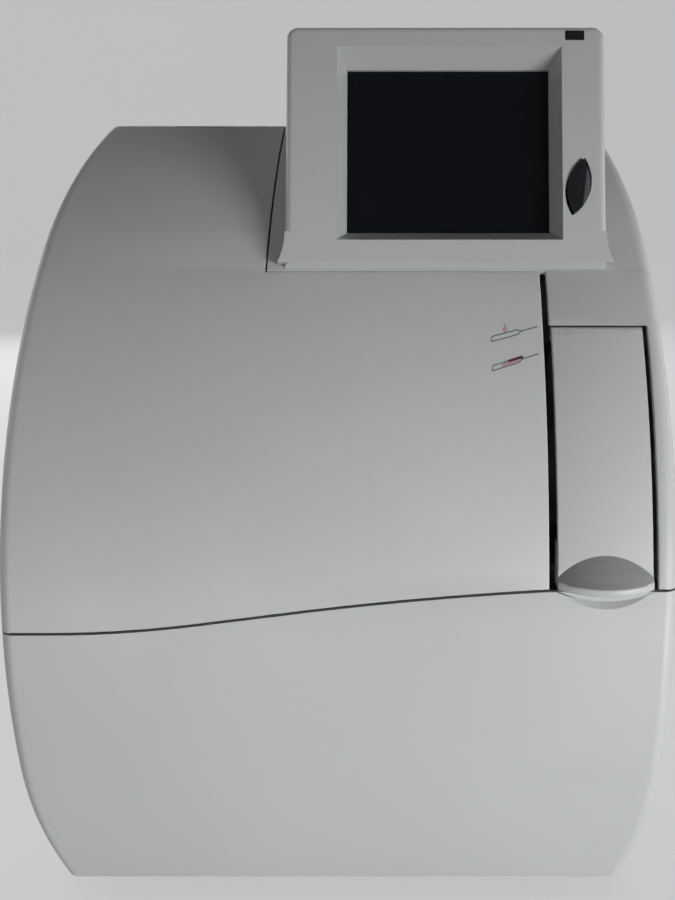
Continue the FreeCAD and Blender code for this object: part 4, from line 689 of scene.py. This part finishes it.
@dataclass
class Console(SubAssembly):
    """The leaning screen console: glass, display area, standby key and lamp window."""

    foot: Point = (59.3, -84.5, 356.5)
    lean: float = 18.0
    key_x: float = 76.5
    key_z: float = 44.0
    key_high: float = 33.0
    key_lean: float = 7.0
    key_bend: float = 24.0
    key_proud: float = 1.2
    key_split: float = 0.56
    key_step: float = 0.8
    key_ribs: int = 9
    key_back: float = 2.0
    key_sides: int = 128
    groove: float = 0.7
    groove_deep: float = 0.3
    cut_reach: float = 9.0
    window_low: Span = (-57.8, 20.6)
    window_high: Span = (61.7, 118.6)
    window_deep: float = 14.0
    display_margin: float = 3.2
    display_depths: Span = (1.93, 1.98)

    def place(self) -> Matrix:
        """The console's own frame: X along the face, Y into it, Z up it.

        Returns:
            The matrix from that frame to the row's, in metres.
        """
        return (Matrix.Translation(Vector(self.foot) * MM)
                @ Matrix.Rotation(-math.radians(self.lean), 4, "X"))

    def put(self, piece: bpy.types.Object) -> bpy.types.Object:
        """Moves a piece from the console's frame into place."""
        piece.data.transform(self.place())
        return piece

    def on_key(self, piece: bpy.types.Object) -> bpy.types.Object:
        """Moves a piece from the key's own middle to its place on the console."""
        piece.data.transform(Matrix.Translation(Vector((self.key_x, 0, self.key_z)) * MM)
                             @ Matrix.Rotation(math.radians(self.key_lean), 4, "Y"))
        return self.put(piece)

    def leaf(self, name: str, front: float, back: float) -> bpy.types.Object:
        """A pointed oval between two depths, round its own middle.

        Args:
            name: The new object's name.
            front: Depth of its front face.
            back: Depth of its back face.

        Returns:
            The oval, crossed from two discs.
        """
        reach = math.sqrt(self.key_bend ** 2 - (self.key_high / 2) ** 2)
        middle, thick = (front + back) / 2, back - front
        oval = Bench.disc(name, (reach, middle, 0), Axis.Y, self.key_bend, thick, self.key_sides)
        other = Bench.disc("leaf_cutter", (-reach, middle, 0), Axis.Y, self.key_bend, thick * 3,
                           self.key_sides)
        return Bench.carve(oval, other, "INTERSECT")

    def key(self) -> None:
        """The leaf-shaped standby key: a black cushion, and beside it a lower ribbed grey edge."""
        half = self.key_high / 2
        wide = self.key_bend - math.sqrt(self.key_bend ** 2 - half ** 2)
        split, reach = wide * self.key_split, self.cut_reach
        dark = self.leaf("standby_key", -self.key_proud, self.key_back)
        Bench.carve(dark, Bench.slab("edge_cutter", (split, -reach, -half), (wide * 2, reach, half)))
        Bench.soften(dark, 0.5, 4)
        self.keep(self.on_key(dark), "standby_button", "key", "button_gloss", "standby_button")
        face = -self.key_proud + self.key_step
        edge = self.leaf("standby_key_edge", face, self.key_back)
        Bench.carve(edge, Bench.slab("cushion_cutter", (-wide * 2, -reach, -half),
                                     (split + 0.15, reach, half)))
        grooves = []
        for index in range(self.key_ribs):
            low = -half * 0.8 + index * half * 1.6 / self.key_ribs
            grooves.append(Bench.slab(f"groove_{index}", (split, -reach, low),
                                      (wide * 2, face + self.groove_deep, low + self.groove)))
        Bench.carve(edge, Bench.join("rib_cutter", grooves))
        Bench.soften(edge, 0.1, 2)
        self.keep(self.on_key(edge), "standby_button", "key_side", "button_gloss")

    def display(self) -> None:
        """The display area behind the touch glass, a margin inside the window's edges."""
        (left, low), (right, high) = self.window_low, self.window_high
        gap, (front, back) = self.display_margin, self.display_depths
        area = Bench.slab("display_area", (left + gap, self.window_deep + front, low + gap),
                          (right - gap, self.window_deep + back, high - gap))
        Bench.soften(area, 0.01, 1)
        self.keep(self.put(area), "housing", "lcd", "screen_glass")

    def build(self) -> None:
        """Makes the key and the display."""
        self.key()
        self.display()


# Covers


@dataclass
class SampleSymbols(SubAssembly):
    """The two slanted symbols printed on the upper cover beside the sample flap."""

    left: float = 84.2
    neck: float = 98.9
    right: float = 110.4
    low_at_left: Span = (314.7, 300.0)
    rise: Span = (6.4, 7.4)
    apart: float = 2.5
    line: float = 0.5
    start_y: float = -190.0
    thick: float = 0.04
    fill_inset: float = 5.5
    fill_past: float = 1.0
    rod_inset: float = 3.6
    rod_past: float = 1.6
    rod_wide: float = 1.25
    rod_lift: float = 0.06
    arrow_inset: float = 2.4
    arrow_gap: float = 1.2
    arrow_stem: Span = (4.2, 1.4)
    arrow_head: Span = (1.3, 1.9)
    arrow_wide: Span = (1.1, 0.9)

    def stroke(self, name: str, x0: float, z0: float, x1: float, z1: float, wide: float,
               lift: float = 0.01) -> bpy.types.Object:
        """One printed stroke as a thin strip in front of the cover.

        Args:
            name: The strip's name.
            x0: Start across.
            z0: Start height.
            x1: End across.
            z1: End height.
            wide: The stroke's width.
            lift: Its height over the cover.

        Returns:
            The strip.
        """
        length, turn = math.hypot(x1 - x0, z1 - z0), math.atan2(z1 - z0, x1 - x0)
        strip = Bench.start(name, bpy.ops.mesh.primitive_grid_add, (0, 0, 0), x_subdivisions=12,
                            y_subdivisions=1, size=1, rotation=Axis.Y.value)
        middle = Vector(((x0 + x1) / 2, self.start_y, (z0 + z1) / 2)) * MM
        strip.data.transform(Matrix.Translation(middle) @ Matrix.Rotation(-turn, 4, "Y")
                             @ Matrix.Diagonal((length * MM, 1, wide * MM, 1)))
        return Bench.lay_on(strip, "upper_cover", lift, self.thick)

    def syringe(self, index: int, low: float, slope: float) -> list[bpy.types.Object]:
        """The outline of one sample holder: two walls, a closed end, a shoulder and a needle.

        Args:
            index: Which symbol it is.
            low: Height of its lower wall at the left.
            slope: How fast it rises to the right.

        Returns:
            The strokes.
        """
        def at(x: float, up: float) -> Span:
            """A point of the symbol, which rises to the right."""
            return x, low + slope * (x - self.left) + up

        corners = [at(self.neck, 0), at(self.left, 0), at(self.left + 0.5, self.apart),
                   at(self.neck, self.apart), at(self.neck + 2.2, self.apart / 2),
                   at(self.right, self.apart / 2)]
        pairs = list(zip(corners, corners[1:])) + [(corners[0], corners[4])]
        return [self.stroke(f"symbol_line_{index}_{count}", *start, *stop, self.line)
                for count, (start, stop) in enumerate(pairs)]

    def build(self) -> None:
        """Prints both symbols, with a pale arrow over the first and a filled second one."""
        lines, pale, deep = [], [], []
        for index, (low, climb) in enumerate(zip(self.low_at_left, self.rise)):
            slope = climb / (self.right - self.left)
            lines += self.syringe(index, low, slope)
            x0, x1 = self.left + self.fill_inset, self.neck + self.fill_past
            middle = low + slope * (x0 - self.left) + self.apart / 2
            if index:
                pale.append(self.stroke("symbol_fill", x0, middle, x1, middle + slope * (x1 - x0),
                                        self.apart * 0.62))
                rod = middle + self.apart * 0.42
                deep.append(self.stroke("symbol_rod", x0 + self.rod_inset, rod + slope * self.rod_inset,
                                        x1 + self.rod_past, rod + slope * (x1 + self.rod_past - x0),
                                        self.rod_wide, self.rod_lift))
            else:
                stem, tip = x0 + self.arrow_inset, middle + self.apart * 0.5 + self.arrow_gap
                (top, foot), (half, rise), (thick, thin) = self.arrow_stem, self.arrow_head, self.arrow_wide
                pale.append(self.stroke("symbol_arrow_stem", stem, tip + top, stem, tip + foot, thick))
                pale += [self.stroke("symbol_arrow", stem, tip, stem + side, tip + rise, thin)
                         for side in (-half, half)]
        for name, strokes, finish in (("sample_symbols", lines, "print_grey"),
                                      ("sample_symbol_fills", pale, "print_pink"),
                                      ("sample_symbol_rod", deep, "print_red")):
            self.keep(Bench.join(name, strokes), "upper_cover", finish, "cover_plastic")


@dataclass
class CoverEdges(SubAssembly):
    """The front covers again, with the rounded edges and the soft hollow that moulded covers have."""

    near: float = 0.08
    round: float = 0.7
    steps: int = 3
    sharp: float = 55.0
    crown: float = 380.0
    weld: float = 0.002
    roll: Span = (318.3, 321.0)
    roll_deep: Span = (0.001, 0.75)
    ball_x: float = 143.6
    ball_z: float = 210.5
    ball_out: float = 54.4
    ball_radius: float = 64.2

    def reach(self, spot: Vector) -> float:
        """How far a point in metres stands out from the front arc, in millimetres."""
        return math.hypot(spot.y / MM - FRONT_Y, spot.z / MM - FRONT_Z) - FRONT_RADIUS

    def on_skin(self, spot: Vector, low: float) -> bool:
        """Whether a point in metres lies on the outer front arc, above a height and below the crown."""
        return low * MM < spot.z < self.crown * MM and spot.y < 0 and abs(self.reach(spot)) < self.near

    def twin(self, node: str) -> bpy.types.Object:
        """A copy of a node's mesh whose faces share their corners.

        Args:
            node: The cover's node.

        Returns:
            The copy.
        """
        cover = Bench.copy(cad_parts[node], f"{node}_edged", Matrix.Identity(4))
        Bench.take(cover)
        bpy.ops.mesh.customdata_custom_splitnormals_clear()
        bpy.ops.object.mode_set(mode="EDIT")
        bpy.ops.mesh.select_all(action="SELECT")
        bpy.ops.mesh.remove_doubles(threshold=self.weld * MM)
        bpy.ops.object.mode_set(mode="OBJECT")
        return cover

    def fill_roll(self, vert: bmesh.types.BMVert) -> None:
        """Lifts a vertex of the shallow notch under the flap's hinge roll onto the front arc.

        Args:
            vert: The vertex to look at.
        """
        deep, (low, high) = -self.reach(vert.co), self.roll
        if low * MM < vert.co.z < high * MM and self.roll_deep[0] < deep < self.roll_deep[1]:
            middle = Vector((vert.co.x, FRONT_Y * MM, FRONT_Z * MM))
            vert.co = middle + (vert.co - middle) * FRONT_RADIUS / (FRONT_RADIUS - deep)

    def rounded(self, node: str, low: float) -> bpy.types.Object:
        """A copy of a cover with its gap edges rounded.

        Args:
            node: The cover's node.
            low: Height in mm that the rounding starts above.

        Returns:
            The copy.
        """
        cover = self.twin(node)
        shape = bmesh.new()
        shape.from_mesh(cover.data)
        if node == "sample_flap":
            for vert in shape.verts:
                self.fill_roll(vert)
        marks = shape.edges.layers.float.new("bevel_weight_edge")
        for edge in shape.edges:
            if len(edge.link_faces) == 2 and all(self.on_skin(vert.co, low) for vert in edge.verts):
                if edge.calc_face_angle() > math.radians(self.sharp):
                    edge[marks] = 1.0
        shape.to_mesh(cover.data)
        shape.free()
        return Bench.modify(cover, "BEVEL", width=self.round * MM, segments=self.steps,
                            limit_method="WEIGHT", use_clamp_overlap=False)

    def hollowed(self) -> bpy.types.Object:
        """A copy of the lower cover with a wider hollow under the flap's lip.

        Returns:
            The copy.
        """
        cover = self.twin("lower_cover")
        reach = FRONT_RADIUS + self.ball_out
        rise = (self.ball_z - FRONT_Z) * reach / FRONT_RADIUS
        middle = (self.ball_x, FRONT_Y - math.sqrt(reach * reach - rise * rise), FRONT_Z + rise)
        ball = Bench.start("hollow_ball", bpy.ops.mesh.primitive_uv_sphere_add, middle, segments=160,
                           ring_count=80, radius=self.ball_radius * MM)
        return Bench.carve(cover, ball)

    def build(self) -> None:
        """Makes the changed copies and puts them in the nodes' places."""
        rows = (("upper_cover", "upper_cover", 0.0), ("sample_flap", "sample_flap", 195.0),
                ("right_panel", "housing", 0.0), ("lower_cover", "lower_cover", 0.0))
        for node, body, low in rows:
            cover = self.hollowed() if node == "lower_cover" else self.rounded(node, low)
            Bench.take(cover)
            bpy.ops.mesh.customdata_custom_splitnormals_clear()
            self.keep(cover, body, "cover", "cover_plastic", node)


@dataclass
class FlapLip(SubAssembly):
    """The lip that the flap is lifted by: it stands proud of the flap and its top slopes back into it."""

    left: float = 118.02
    right: float = 169.18
    low: float = 190.0
    crest: float = 193.9
    radius: float = 38.4
    front: float = -179.7
    top: float = 212.0
    slant: float = 1.18
    edge: float = 1.5
    bite: float = 0.8
    level: float = 0.9
    sloping: float = 0.5

    def build(self) -> None:
        """Makes the lip from a disc whose top is drawn back, cut to the flap."""
        middle = (self.left + self.right) / 2
        lip = Bench.disc("flap_lip", (middle, self.front + self.radius, (self.low + self.crest) / 2),
                         Axis.Z, self.radius, self.crest - self.low, 192)
        Bench.pick(lip, lambda spot, normal: normal.z > self.level)
        rise = self.top - self.crest
        bpy.ops.mesh.extrude_region_move(
            TRANSFORM_OT_translate={"value": (0, self.slant * rise * MM, rise * MM)})
        Bench.clear()
        Bench.soften(lip, self.edge, 5)
        Bench.carve(lip, Bench.disc("arc_cutter", (middle, FRONT_Y, FRONT_Z), Axis.X,
                                    FRONT_RADIUS - self.bite, 200, 720))
        Bench.carve(lip, Bench.slab("side_cutter", (self.left, -300, 100), (self.right, 0, 300)),
                    "INTERSECT")
        self.keep(lip, "sample_flap", "cover", "cover_plastic")
        # The up-facing sloped top takes the grip finish: its fine lines are real, its dark tone is painted
        # shade.
        lip.data.materials.append(self.wardrobe.materials["grip"])
        Bench.pick(lip, lambda spot, normal: normal.z > self.sloping and spot.z > self.crest - 0.5)
        lip.active_material_index = 1
        bpy.ops.object.material_slot_assign()
        Bench.clear()


# Fasteners, bay, back


@dataclass
class Screws(SubAssembly):
    """Pan-head screws with a hexagonal recess, one modelled and copied."""

    radius: float = 3.2
    high: float = 2.0
    edge: float = 0.7
    sides: int = 28
    recess: float = 1.6
    recess_sides: int = 6
    back_y: float = 177.0
    back_x: float = 124.0
    back_heights: tuple[float, ...] = (40.0, 215.0, 390.0)
    fan_x: float = 80.0
    fan_z: float = 330.0
    fan_pitch: float = 35.75
    bay_y: float = -60.0
    bay_places: tuple[Span, ...] = ((-134.0, 335.0), (-20.0, 335.0), (104.0, 335.0), (104.0, 240.0),
                                    (-134.0, 196.0))
    base_z: float = 15.0
    base_places: tuple[Span, ...] = ((-96.0, -128.0), (96.0, -128.0), (-96.0, 162.0), (96.0, 162.0),
                                     (-134.0, 16.0), (134.0, 16.0))

    def model(self) -> bpy.types.Object:
        """One screw head standing up from the origin.

        Returns:
            The head, which is removed once it has been copied.
        """
        head = Bench.disc("screw_head", (0, 0, self.high / 2), Axis.Z, self.radius, self.high, self.sides)
        Bench.soften(head, self.edge, 4)
        tool = Bench.disc("recess_cutter", (0, 0, self.high), Axis.Z, self.recess, self.high,
                          self.recess_sides)
        return Bench.carve(head, tool)

    def row(self, name: str, places: Iterable[Point], turn: Matrix) -> None:
        """Copies the head to several places and joins the copies.

        Args:
            name: The joined object's name.
            places: Where the heads sit, in millimetres.
            turn: Turns the head from upright to the way it faces.
        """
        head = self.model()
        copies = [Bench.copy(head, f"{name}_{i}", Matrix.Translation(Vector(place) * MM) @ turn)
                  for i, place in enumerate(places)]
        bpy.data.objects.remove(head)
        self.keep(Bench.join(name, copies), "housing", "bright", "bright_steel")

    def build(self) -> None:
        """Screws on the back, round the fan, in the bay and under the base."""
        back = Matrix.Rotation(-math.pi / 2, 4, "X")
        front = Matrix.Rotation(math.pi / 2, 4, "X")
        self.row("back_screws", [(side * self.back_x, self.back_y, z) for side in (-1, 1)
                                 for z in self.back_heights], back)
        self.row("fan_screws", [(self.fan_x + across, self.back_y, self.fan_z + up)
                                for across in (-self.fan_pitch, self.fan_pitch)
                                for up in (-self.fan_pitch, self.fan_pitch)], back)
        self.row("bay_screws", [(x, self.bay_y, z) for x, z in self.bay_places], front)
        self.row("base_screws", [(x, y, self.base_z) for x, y in self.base_places],
                 Matrix.Rotation(math.pi, 4, "X"))


@dataclass
class FluidBay(SubAssembly):
    """Labels and grips on the bottles, tube loops on the pumps, rings on the sensors."""

    bottle_xs: tuple[float, ...] = (-103.5, -34.5, 34.5, 103.5)
    bottle_front: float = -142.0
    bottle_middle: float = -104.0
    label_half: float = 20.0
    label_low: float = 48.0
    label_high: float = 104.0
    band_high: float = 10.0
    band_gap: float = 2.0
    label_thick: float = 0.2
    band_inset: float = 1.5
    band_thick: float = 0.06
    sunk: float = 0.05
    bands: tuple[str, ...] = ("band_blue", "band_amber", "band_green", "band_red")
    cap_radius: float = 15.0
    cap_low: float = 137.0
    cap_high: float = 13.0
    grip_count: int = 30
    grip_reach: Span = (-0.5, 0.6)
    grip_half: float = 0.7
    grip_inset: float = 1.5
    pump_xs: tuple[float, ...] = (12.0, 48.0, 84.0)
    pump_y: float = -75.0
    pump_top: float = 230.0
    loop_radius: float = 8.0
    tube_radius: float = 1.6
    loop_leg: float = 7.0
    tube_wall: float = 0.6
    weld: float = 0.01
    sensor_count: int = 8
    sensor_z: float = 252.0
    contact_radius: float = 3.0
    contact_thick: float = 0.45

    def labels(self) -> None:
        """A blank paper label with a coloured band on each bottle."""
        front, half, top = self.bottle_front - self.label_thick, self.label_half, self.label_high
        papers = []
        for index, (x, band) in enumerate(zip(self.bottle_xs, self.bands)):
            paper = Bench.slab(f"label_{index}", (x - half, front, self.label_low),
                               (x + half, self.bottle_front + self.sunk, top))
            papers.append(Bench.soften(paper, 0.08, 2))
            wide = half - self.band_inset
            stripe = Bench.slab(f"label_band_{index + 1}",
                                (x - wide, front - self.band_thick, top - self.band_high),
                                (x + wide, front + self.sunk, top - self.band_gap))
            self.keep(Bench.soften(stripe, 0.03, 1), "housing", band, "bottle_plastic")
        self.keep(Bench.join("bottle_labels", papers), "housing", "paper", "paper")

    def grips(self) -> None:
        """Upright grips round each bottle cap."""
        ribs = []
        near, far = (self.cap_radius + reach for reach in self.grip_reach)
        low, high = self.cap_low + self.grip_inset, self.cap_low + self.cap_high - self.grip_inset
        for x in self.bottle_xs:
            for index in range(self.grip_count):
                rib = Bench.slab(f"grip_{index}", (near, -self.grip_half, low), (far, self.grip_half, high))
                rib.data.transform(Matrix.Translation(Vector((x, self.bottle_middle, 0)) * MM)
                                   @ Matrix.Rotation(2 * math.pi * index / self.grip_count, 4, "Z"))
                ribs.append(rib)
        self.keep(Bench.join("cap_grips", ribs), "housing", "grey", "inner_plastic")

    def loop(self, name: str, x: float) -> bpy.types.Object:
        """A tube that leaves a pump head, turns round and goes back in, spun from its ring.

        Args:
            name: The new object's name.
            x: The pump's place across.

        Returns:
            The loop.
        """
        bottom, leg = self.pump_top - 0.5, self.loop_leg * MM
        tube = Bench.start(name, bpy.ops.mesh.primitive_circle_add,
                           (x - self.loop_radius, self.pump_y, bottom), vertices=20,
                           radius=self.tube_radius * MM)
        bpy.ops.object.mode_set(mode="EDIT")
        bpy.ops.mesh.select_all(action="SELECT")
        bpy.ops.mesh.extrude_region_move(TRANSFORM_OT_translate={"value": (0, 0, leg)})
        bpy.ops.mesh.spin(steps=20, angle=math.pi, center=(x * MM, self.pump_y * MM, bottom * MM + leg),
                          axis=(0, 1, 0))
        bpy.ops.mesh.extrude_region_move(TRANSFORM_OT_translate={"value": (0, 0, -leg)})
        bpy.ops.mesh.select_all(action="SELECT")
        bpy.ops.mesh.remove_doubles(threshold=self.weld * MM)
        bpy.ops.mesh.normals_make_consistent(inside=False)
        bpy.ops.object.mode_set(mode="OBJECT")
        return Bench.modify(tube, "SOLIDIFY", thickness=self.tube_wall * MM, offset=-1.0)

    def rings(self) -> None:
        """A gold contact ring in front of each sensor."""
        low, high = (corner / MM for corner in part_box("sensors"))
        pitch = (high.x - low.x) / self.sensor_count
        rings = [Bench.ring(f"contact_{index}", (low.x + pitch * (index + 0.5), low.y, self.sensor_z),
                            self.contact_radius, self.contact_thick, 28)
                 for index in range(self.sensor_count)]
        self.keep(Bench.join("sensor_contacts", rings), "housing", "gold", "sensor_ceramic")

    def build(self) -> None:
        """Makes the bay's fine pieces."""
        self.labels()
        self.grips()
        loops = [self.loop(f"tube_loop_{i}", x) for i, x in enumerate(self.pump_xs)]
        self.keep(Bench.join("pump_tubes", loops), "housing", "tube", "clear_plastic")
        self.rings()


@dataclass
class BackFittings(SubAssembly):
    """Contacts in the sockets, the inlet's pins, and the marks on the mains rocker."""

    floor_y: float = 170.0
    serial_xs: tuple[float, ...] = (-10.0, 26.0)
    serial_wide: float = 31.0
    serial_pitch: float = 2.76
    insert_half: Span = (8.5, 3.4)
    port_low: float = 62.0
    port_high: float = 75.0
    network_x: float = 62.0
    network_count: int = 8
    network_pitch: float = 1.02
    usb_x: float = 83.0
    post_xs: tuple[float, ...] = (-13.2, 23.5, 59.5)
    post_y: float = 178.0
    pin_xs: tuple[float, ...] = (-101.0, -92.0, -83.0)
    pin_y: float = 168.95
    pin_z: float = 62.0
    rocker_x: float = -54.0
    rocker_face: float = 178.95
    mark_rise: float = 7.0

    def port_middle(self) -> float:
        """The sockets' middle height."""
        return (self.port_low + self.port_high) / 2

    def serial(self) -> None:
        """Nine gold contacts in two rows on a black insert in each serial socket."""
        inserts, pins = [], []
        (across, up), z = self.insert_half, self.port_middle()
        for start in self.serial_xs:
            middle = start + self.serial_wide / 2
            insert = Bench.slab("serial_insert", (middle - across, self.floor_y - 0.1, z - up),
                                (middle + across, self.floor_y + 4.5, z + up))
            inserts.append(Bench.soften(insert, 0.8, 3))
            for count, rise in ((5, 1.4), (4, -1.4)):
                for index in range(count):
                    place = (middle + (index - (count - 1) / 2) * self.serial_pitch, self.floor_y + 4.6,
                             z + rise)
                    pin = Bench.disc("serial_pin", place, Axis.Y, 0.5, 1.4, 12)
                    pins.append(Bench.soften(pin, 0.12, 2))
        self.keep(Bench.join("serial_inserts", inserts), "housing", "black", "black_plastic")
        self.keep(Bench.join("serial_contacts", pins), "housing", "gold", "bright_steel")

    def network(self) -> None:
        """Eight spring contacts in the network socket, and the tongue of the small data socket."""
        contacts = []
        for index in range(self.network_count):
            x = self.network_x + 4.4 + index * self.network_pitch
            contacts.append(Bench.slab("network_contact", (x - 0.2, self.floor_y, self.port_low + 3.2),
                                       (x + 0.2, self.floor_y + 5.5, self.port_low + 3.6)))
        self.keep(Bench.join("network_contacts", contacts), "housing", "gold", "bright_steel")
        tongue = Bench.slab("data_tongue", (self.usb_x + 3.0, self.floor_y - 0.1, self.port_low + 6.6),
                            (self.usb_x + 11.0, self.floor_y + 6.0, self.port_low + 8.4))
        self.keep(Bench.soften(tongue, 0.3, 2), "housing", "black", "black_plastic")

    def posts(self) -> None:
        """The hexagonal posts that a plug is screwed to."""
        posts = []
        for x in self.post_xs:
            post = Bench.disc("socket_post", (x, self.post_y, self.port_middle()), Axis.Y, 2.2, 2.6, 6)
            hole = Bench.disc("post_hole", (x, self.post_y + 1.5, self.port_middle()), Axis.Y, 1.1, 3, 16)
            posts.append(Bench.carve(Bench.soften(post, 0.25, 2), hole))
        self.keep(Bench.join("socket_posts", posts), "housing", "bright", "bright_steel")

    def inlet(self) -> None:
        """Bright rounded sleeves on the inlet's pins."""
        pins = [Bench.soften(Bench.disc("inlet_pin", (x, self.pin_y, self.pin_z), Axis.Y, 2.06, 13.3, 24),
                             0.6, 3) for x in self.pin_xs]
        self.keep(Bench.join("inlet_pins", pins), "housing", "bright", "bright_steel")

    def marks(self) -> None:
        """The mains rocker's generic marks."""
        x, face = self.rocker_x, self.rocker_face
        ring = Bench.ring("off_mark", (x, face, self.pin_z - self.mark_rise), 1.9, 0.28, 32)
        bar = Bench.slab("on_mark", (x - 0.3, face - 0.3, self.pin_z + self.mark_rise - 2),
                         (x + 0.3, face + 0.25, self.pin_z + self.mark_rise + 2))
        self.keep(Bench.join("rocker_marks", [ring, Bench.soften(bar, 0.1, 2)]), "power_switch", "rotor",
                  "black_plastic")

    def build(self) -> None:
        """Makes the fittings on the back."""
        self.serial()
        self.network()
        self.posts()
        self.inlet()
        self.marks()


# Studio


@dataclass
class Studio:
    """Floor, lamps and the camera at the photograph's angle."""

    eye: Point = (0.0388, -0.666, 0.4008)
    pitch: float = 75.0
    lens: float = 40.0
    sensor: float = 36.0
    shift_x: float = -0.0806
    clip_start: float = 0.01
    floor_half: float = 5.0
    floor_z: float = -0.2
    sweep: float = 0.9
    floor_tones: tuple[Point, Point] = ((0.20, 0.205, 0.21), (0.22, 0.225, 0.23))
    glow_tone: Point = (0.94, 0.95, 0.96)
    floor_glow: float = 0.52
    world_tone: Point = (0.94, 0.96, 1.0)
    world_light: float = 0.09
    world_seen: float = 0.62
    middle: Point = (0.0, 0.0, 0.22)
    low_middle: Point = (0.0, 0.0, 0.07)

    def paper(self) -> bpy.types.Material:
        """Pale paper that glows a little where the camera sees it, directly or mirrored.

        Returns:
            The floor's material.
        """
        material = bpy.data.materials.new("studio_paper")
        material.use_nodes = True
        tree = material.node_tree
        dark, pale = self.floor_tones
        place = add_node(tree, "TexCoord").outputs["Object"]
        cloud = add_node(tree, "TexNoise", {"Vector": place, "Scale": 1.5}).outputs["Fac"]
        tone = add_node(tree, "Mix", {"Factor": cloud, "A": (*dark, 1), "B": (*pale, 1)}, data_type="RGBA")
        rays, seen = add_node(tree, "LightPath").outputs, 0.0
        for label in ("Is Camera Ray", "Is Glossy Ray", "Is Transmission Ray"):
            seen = add_node(tree, "Math", {0: rays[label], 1: seen}, operation="ADD",
                            use_clamp=True).outputs["Value"]
        glow = add_node(tree, "Math", {0: seen, 1: self.floor_glow}, operation="MULTIPLY")
        feed(tree, tree.nodes["Principled BSDF"],
             {"Base Color": tone.outputs["Result"], "Roughness": 0.9,
              "Emission Color": (*self.glow_tone, 1), "Emission Strength": glow.outputs["Value"]})
        return material

    def floor(self) -> None:
        """A pale floor that sweeps up behind the object."""
        ground = Bench.start("studio_floor", bpy.ops.mesh.primitive_plane_add, (0, 0, self.floor_z),
                             size=2 * self.floor_half)
        bpy.ops.object.mode_set(mode="EDIT")
        bpy.ops.mesh.select_mode(type="EDGE")
        bpy.ops.mesh.select_all(action="DESELECT")
        shape = bmesh.from_edit_mesh(ground.data)
        for edge in shape.edges:
            if all(vert.co.y > self.floor_half * 0.9 for vert in edge.verts):
                edge.select_set(True)
        bmesh.update_edit_mesh(ground.data)
        bpy.ops.mesh.extrude_region_move(TRANSFORM_OT_translate={"value": (0, 0, self.floor_half)})
        bpy.ops.object.mode_set(mode="OBJECT")
        Bench.modify(ground, "BEVEL", width=self.sweep, segments=12, limit_method="ANGLE")
        Bench.settle(ground, 60)
        ground.data.materials.append(self.paper())

    def lamp(self, name: str, place: Point, size: Span, power: float, aim: Point,
             spread: float) -> None:
        """One soft lamp that looks at the object.

        Args:
            name: The lamp's name.
            place: Where it stands.
            size: Its width and height.
            power: Its power in watts.
            aim: What it points at.
            spread: How wide it opens, in degrees.
        """
        data = bpy.data.lights.new(name, "AREA")
        data.shape, data.energy = "RECTANGLE", power
        data.size, data.size_y = size
        data.spread = math.radians(spread)
        lamp = bpy.data.objects.new(name, data)
        lamp.location = place
        lamp.rotation_euler = (Vector(aim) - Vector(place)).to_track_quat("-Z", "Y").to_euler()
        bpy.context.collection.objects.link(lamp)

    def camera(self) -> None:
        """The camera at the photograph's place."""
        data = bpy.data.cameras.new("photo_camera")
        data.lens, data.sensor_width, data.shift_x = self.lens, self.sensor, self.shift_x
        data.clip_start = self.clip_start
        eye = bpy.data.objects.new("photo_camera", data)
        eye.location = self.eye
        eye.rotation_euler = (math.radians(self.pitch), 0, 0)
        bpy.context.collection.objects.link(eye)
        bpy.context.scene.camera = eye

    def world(self) -> None:
        """A dim sky that looks brighter to the camera than it lights."""
        world = bpy.data.worlds.new("studio_world")
        world.use_nodes = True
        tree = world.node_tree
        seen = add_node(tree, "LightPath").outputs["Is Camera Ray"]
        span = add_node(tree, "MapRange", {"To Min": self.world_light, "To Max": self.world_seen,
                                           "Value": seen})
        feed(tree, tree.nodes["Background"], {"Color": (*self.world_tone, 1),
                                              "Strength": span.outputs["Result"]})
        bpy.context.scene.world = world

    def build(self) -> None:
        """Sets up floor, world, lamps and camera."""
        self.floor()
        self.world()
        for name, place, size, power, aim, spread in (
                ("right_window", (1.25, -1.35, 0.14), (0.9, 0.26), 4.6, self.low_middle, 70),
                ("front_low", (-0.5, -1.35, 0.13), (0.8, 0.24), 0.7, self.low_middle, 70),
                ("left_wall", (-1.9, 0.7, 0.75), (1.2, 1.0), 10, self.middle, 180),
                ("right_wall", (1.9, 0.6, 0.75), (1.2, 1.0), 7, self.middle, 180),
                ("back_window", (-0.4, 2.0, 0.8), (1.3, 1.0), 22, self.middle, 180),
                ("top_soft", (0.2, 0.3, 2.0), (1.4, 1.4), 1, self.middle, 180)):
            self.lamp(name, place, size, power, aim, spread)
        bpy.context.scene.view_settings.view_transform = "Standard"
        self.camera()
        LOG.info("Studio: floor, lamps and camera")


def main() -> None:
    """Dresses the frame, builds the fine pieces and the studio."""
    logging.basicConfig(level=logging.INFO, format="%(name)s: %(message)s")
    wardrobe = Wardrobe()
    wardrobe.dress_frame()
    for kind in (Console, CoverEdges, SampleSymbols, FlapLip, Screws, FluidBay, BackFittings):
        part = kind(wardrobe)
        part.build()
        part.report()
    Studio().build()


if __name__ == "__main__":
    main()
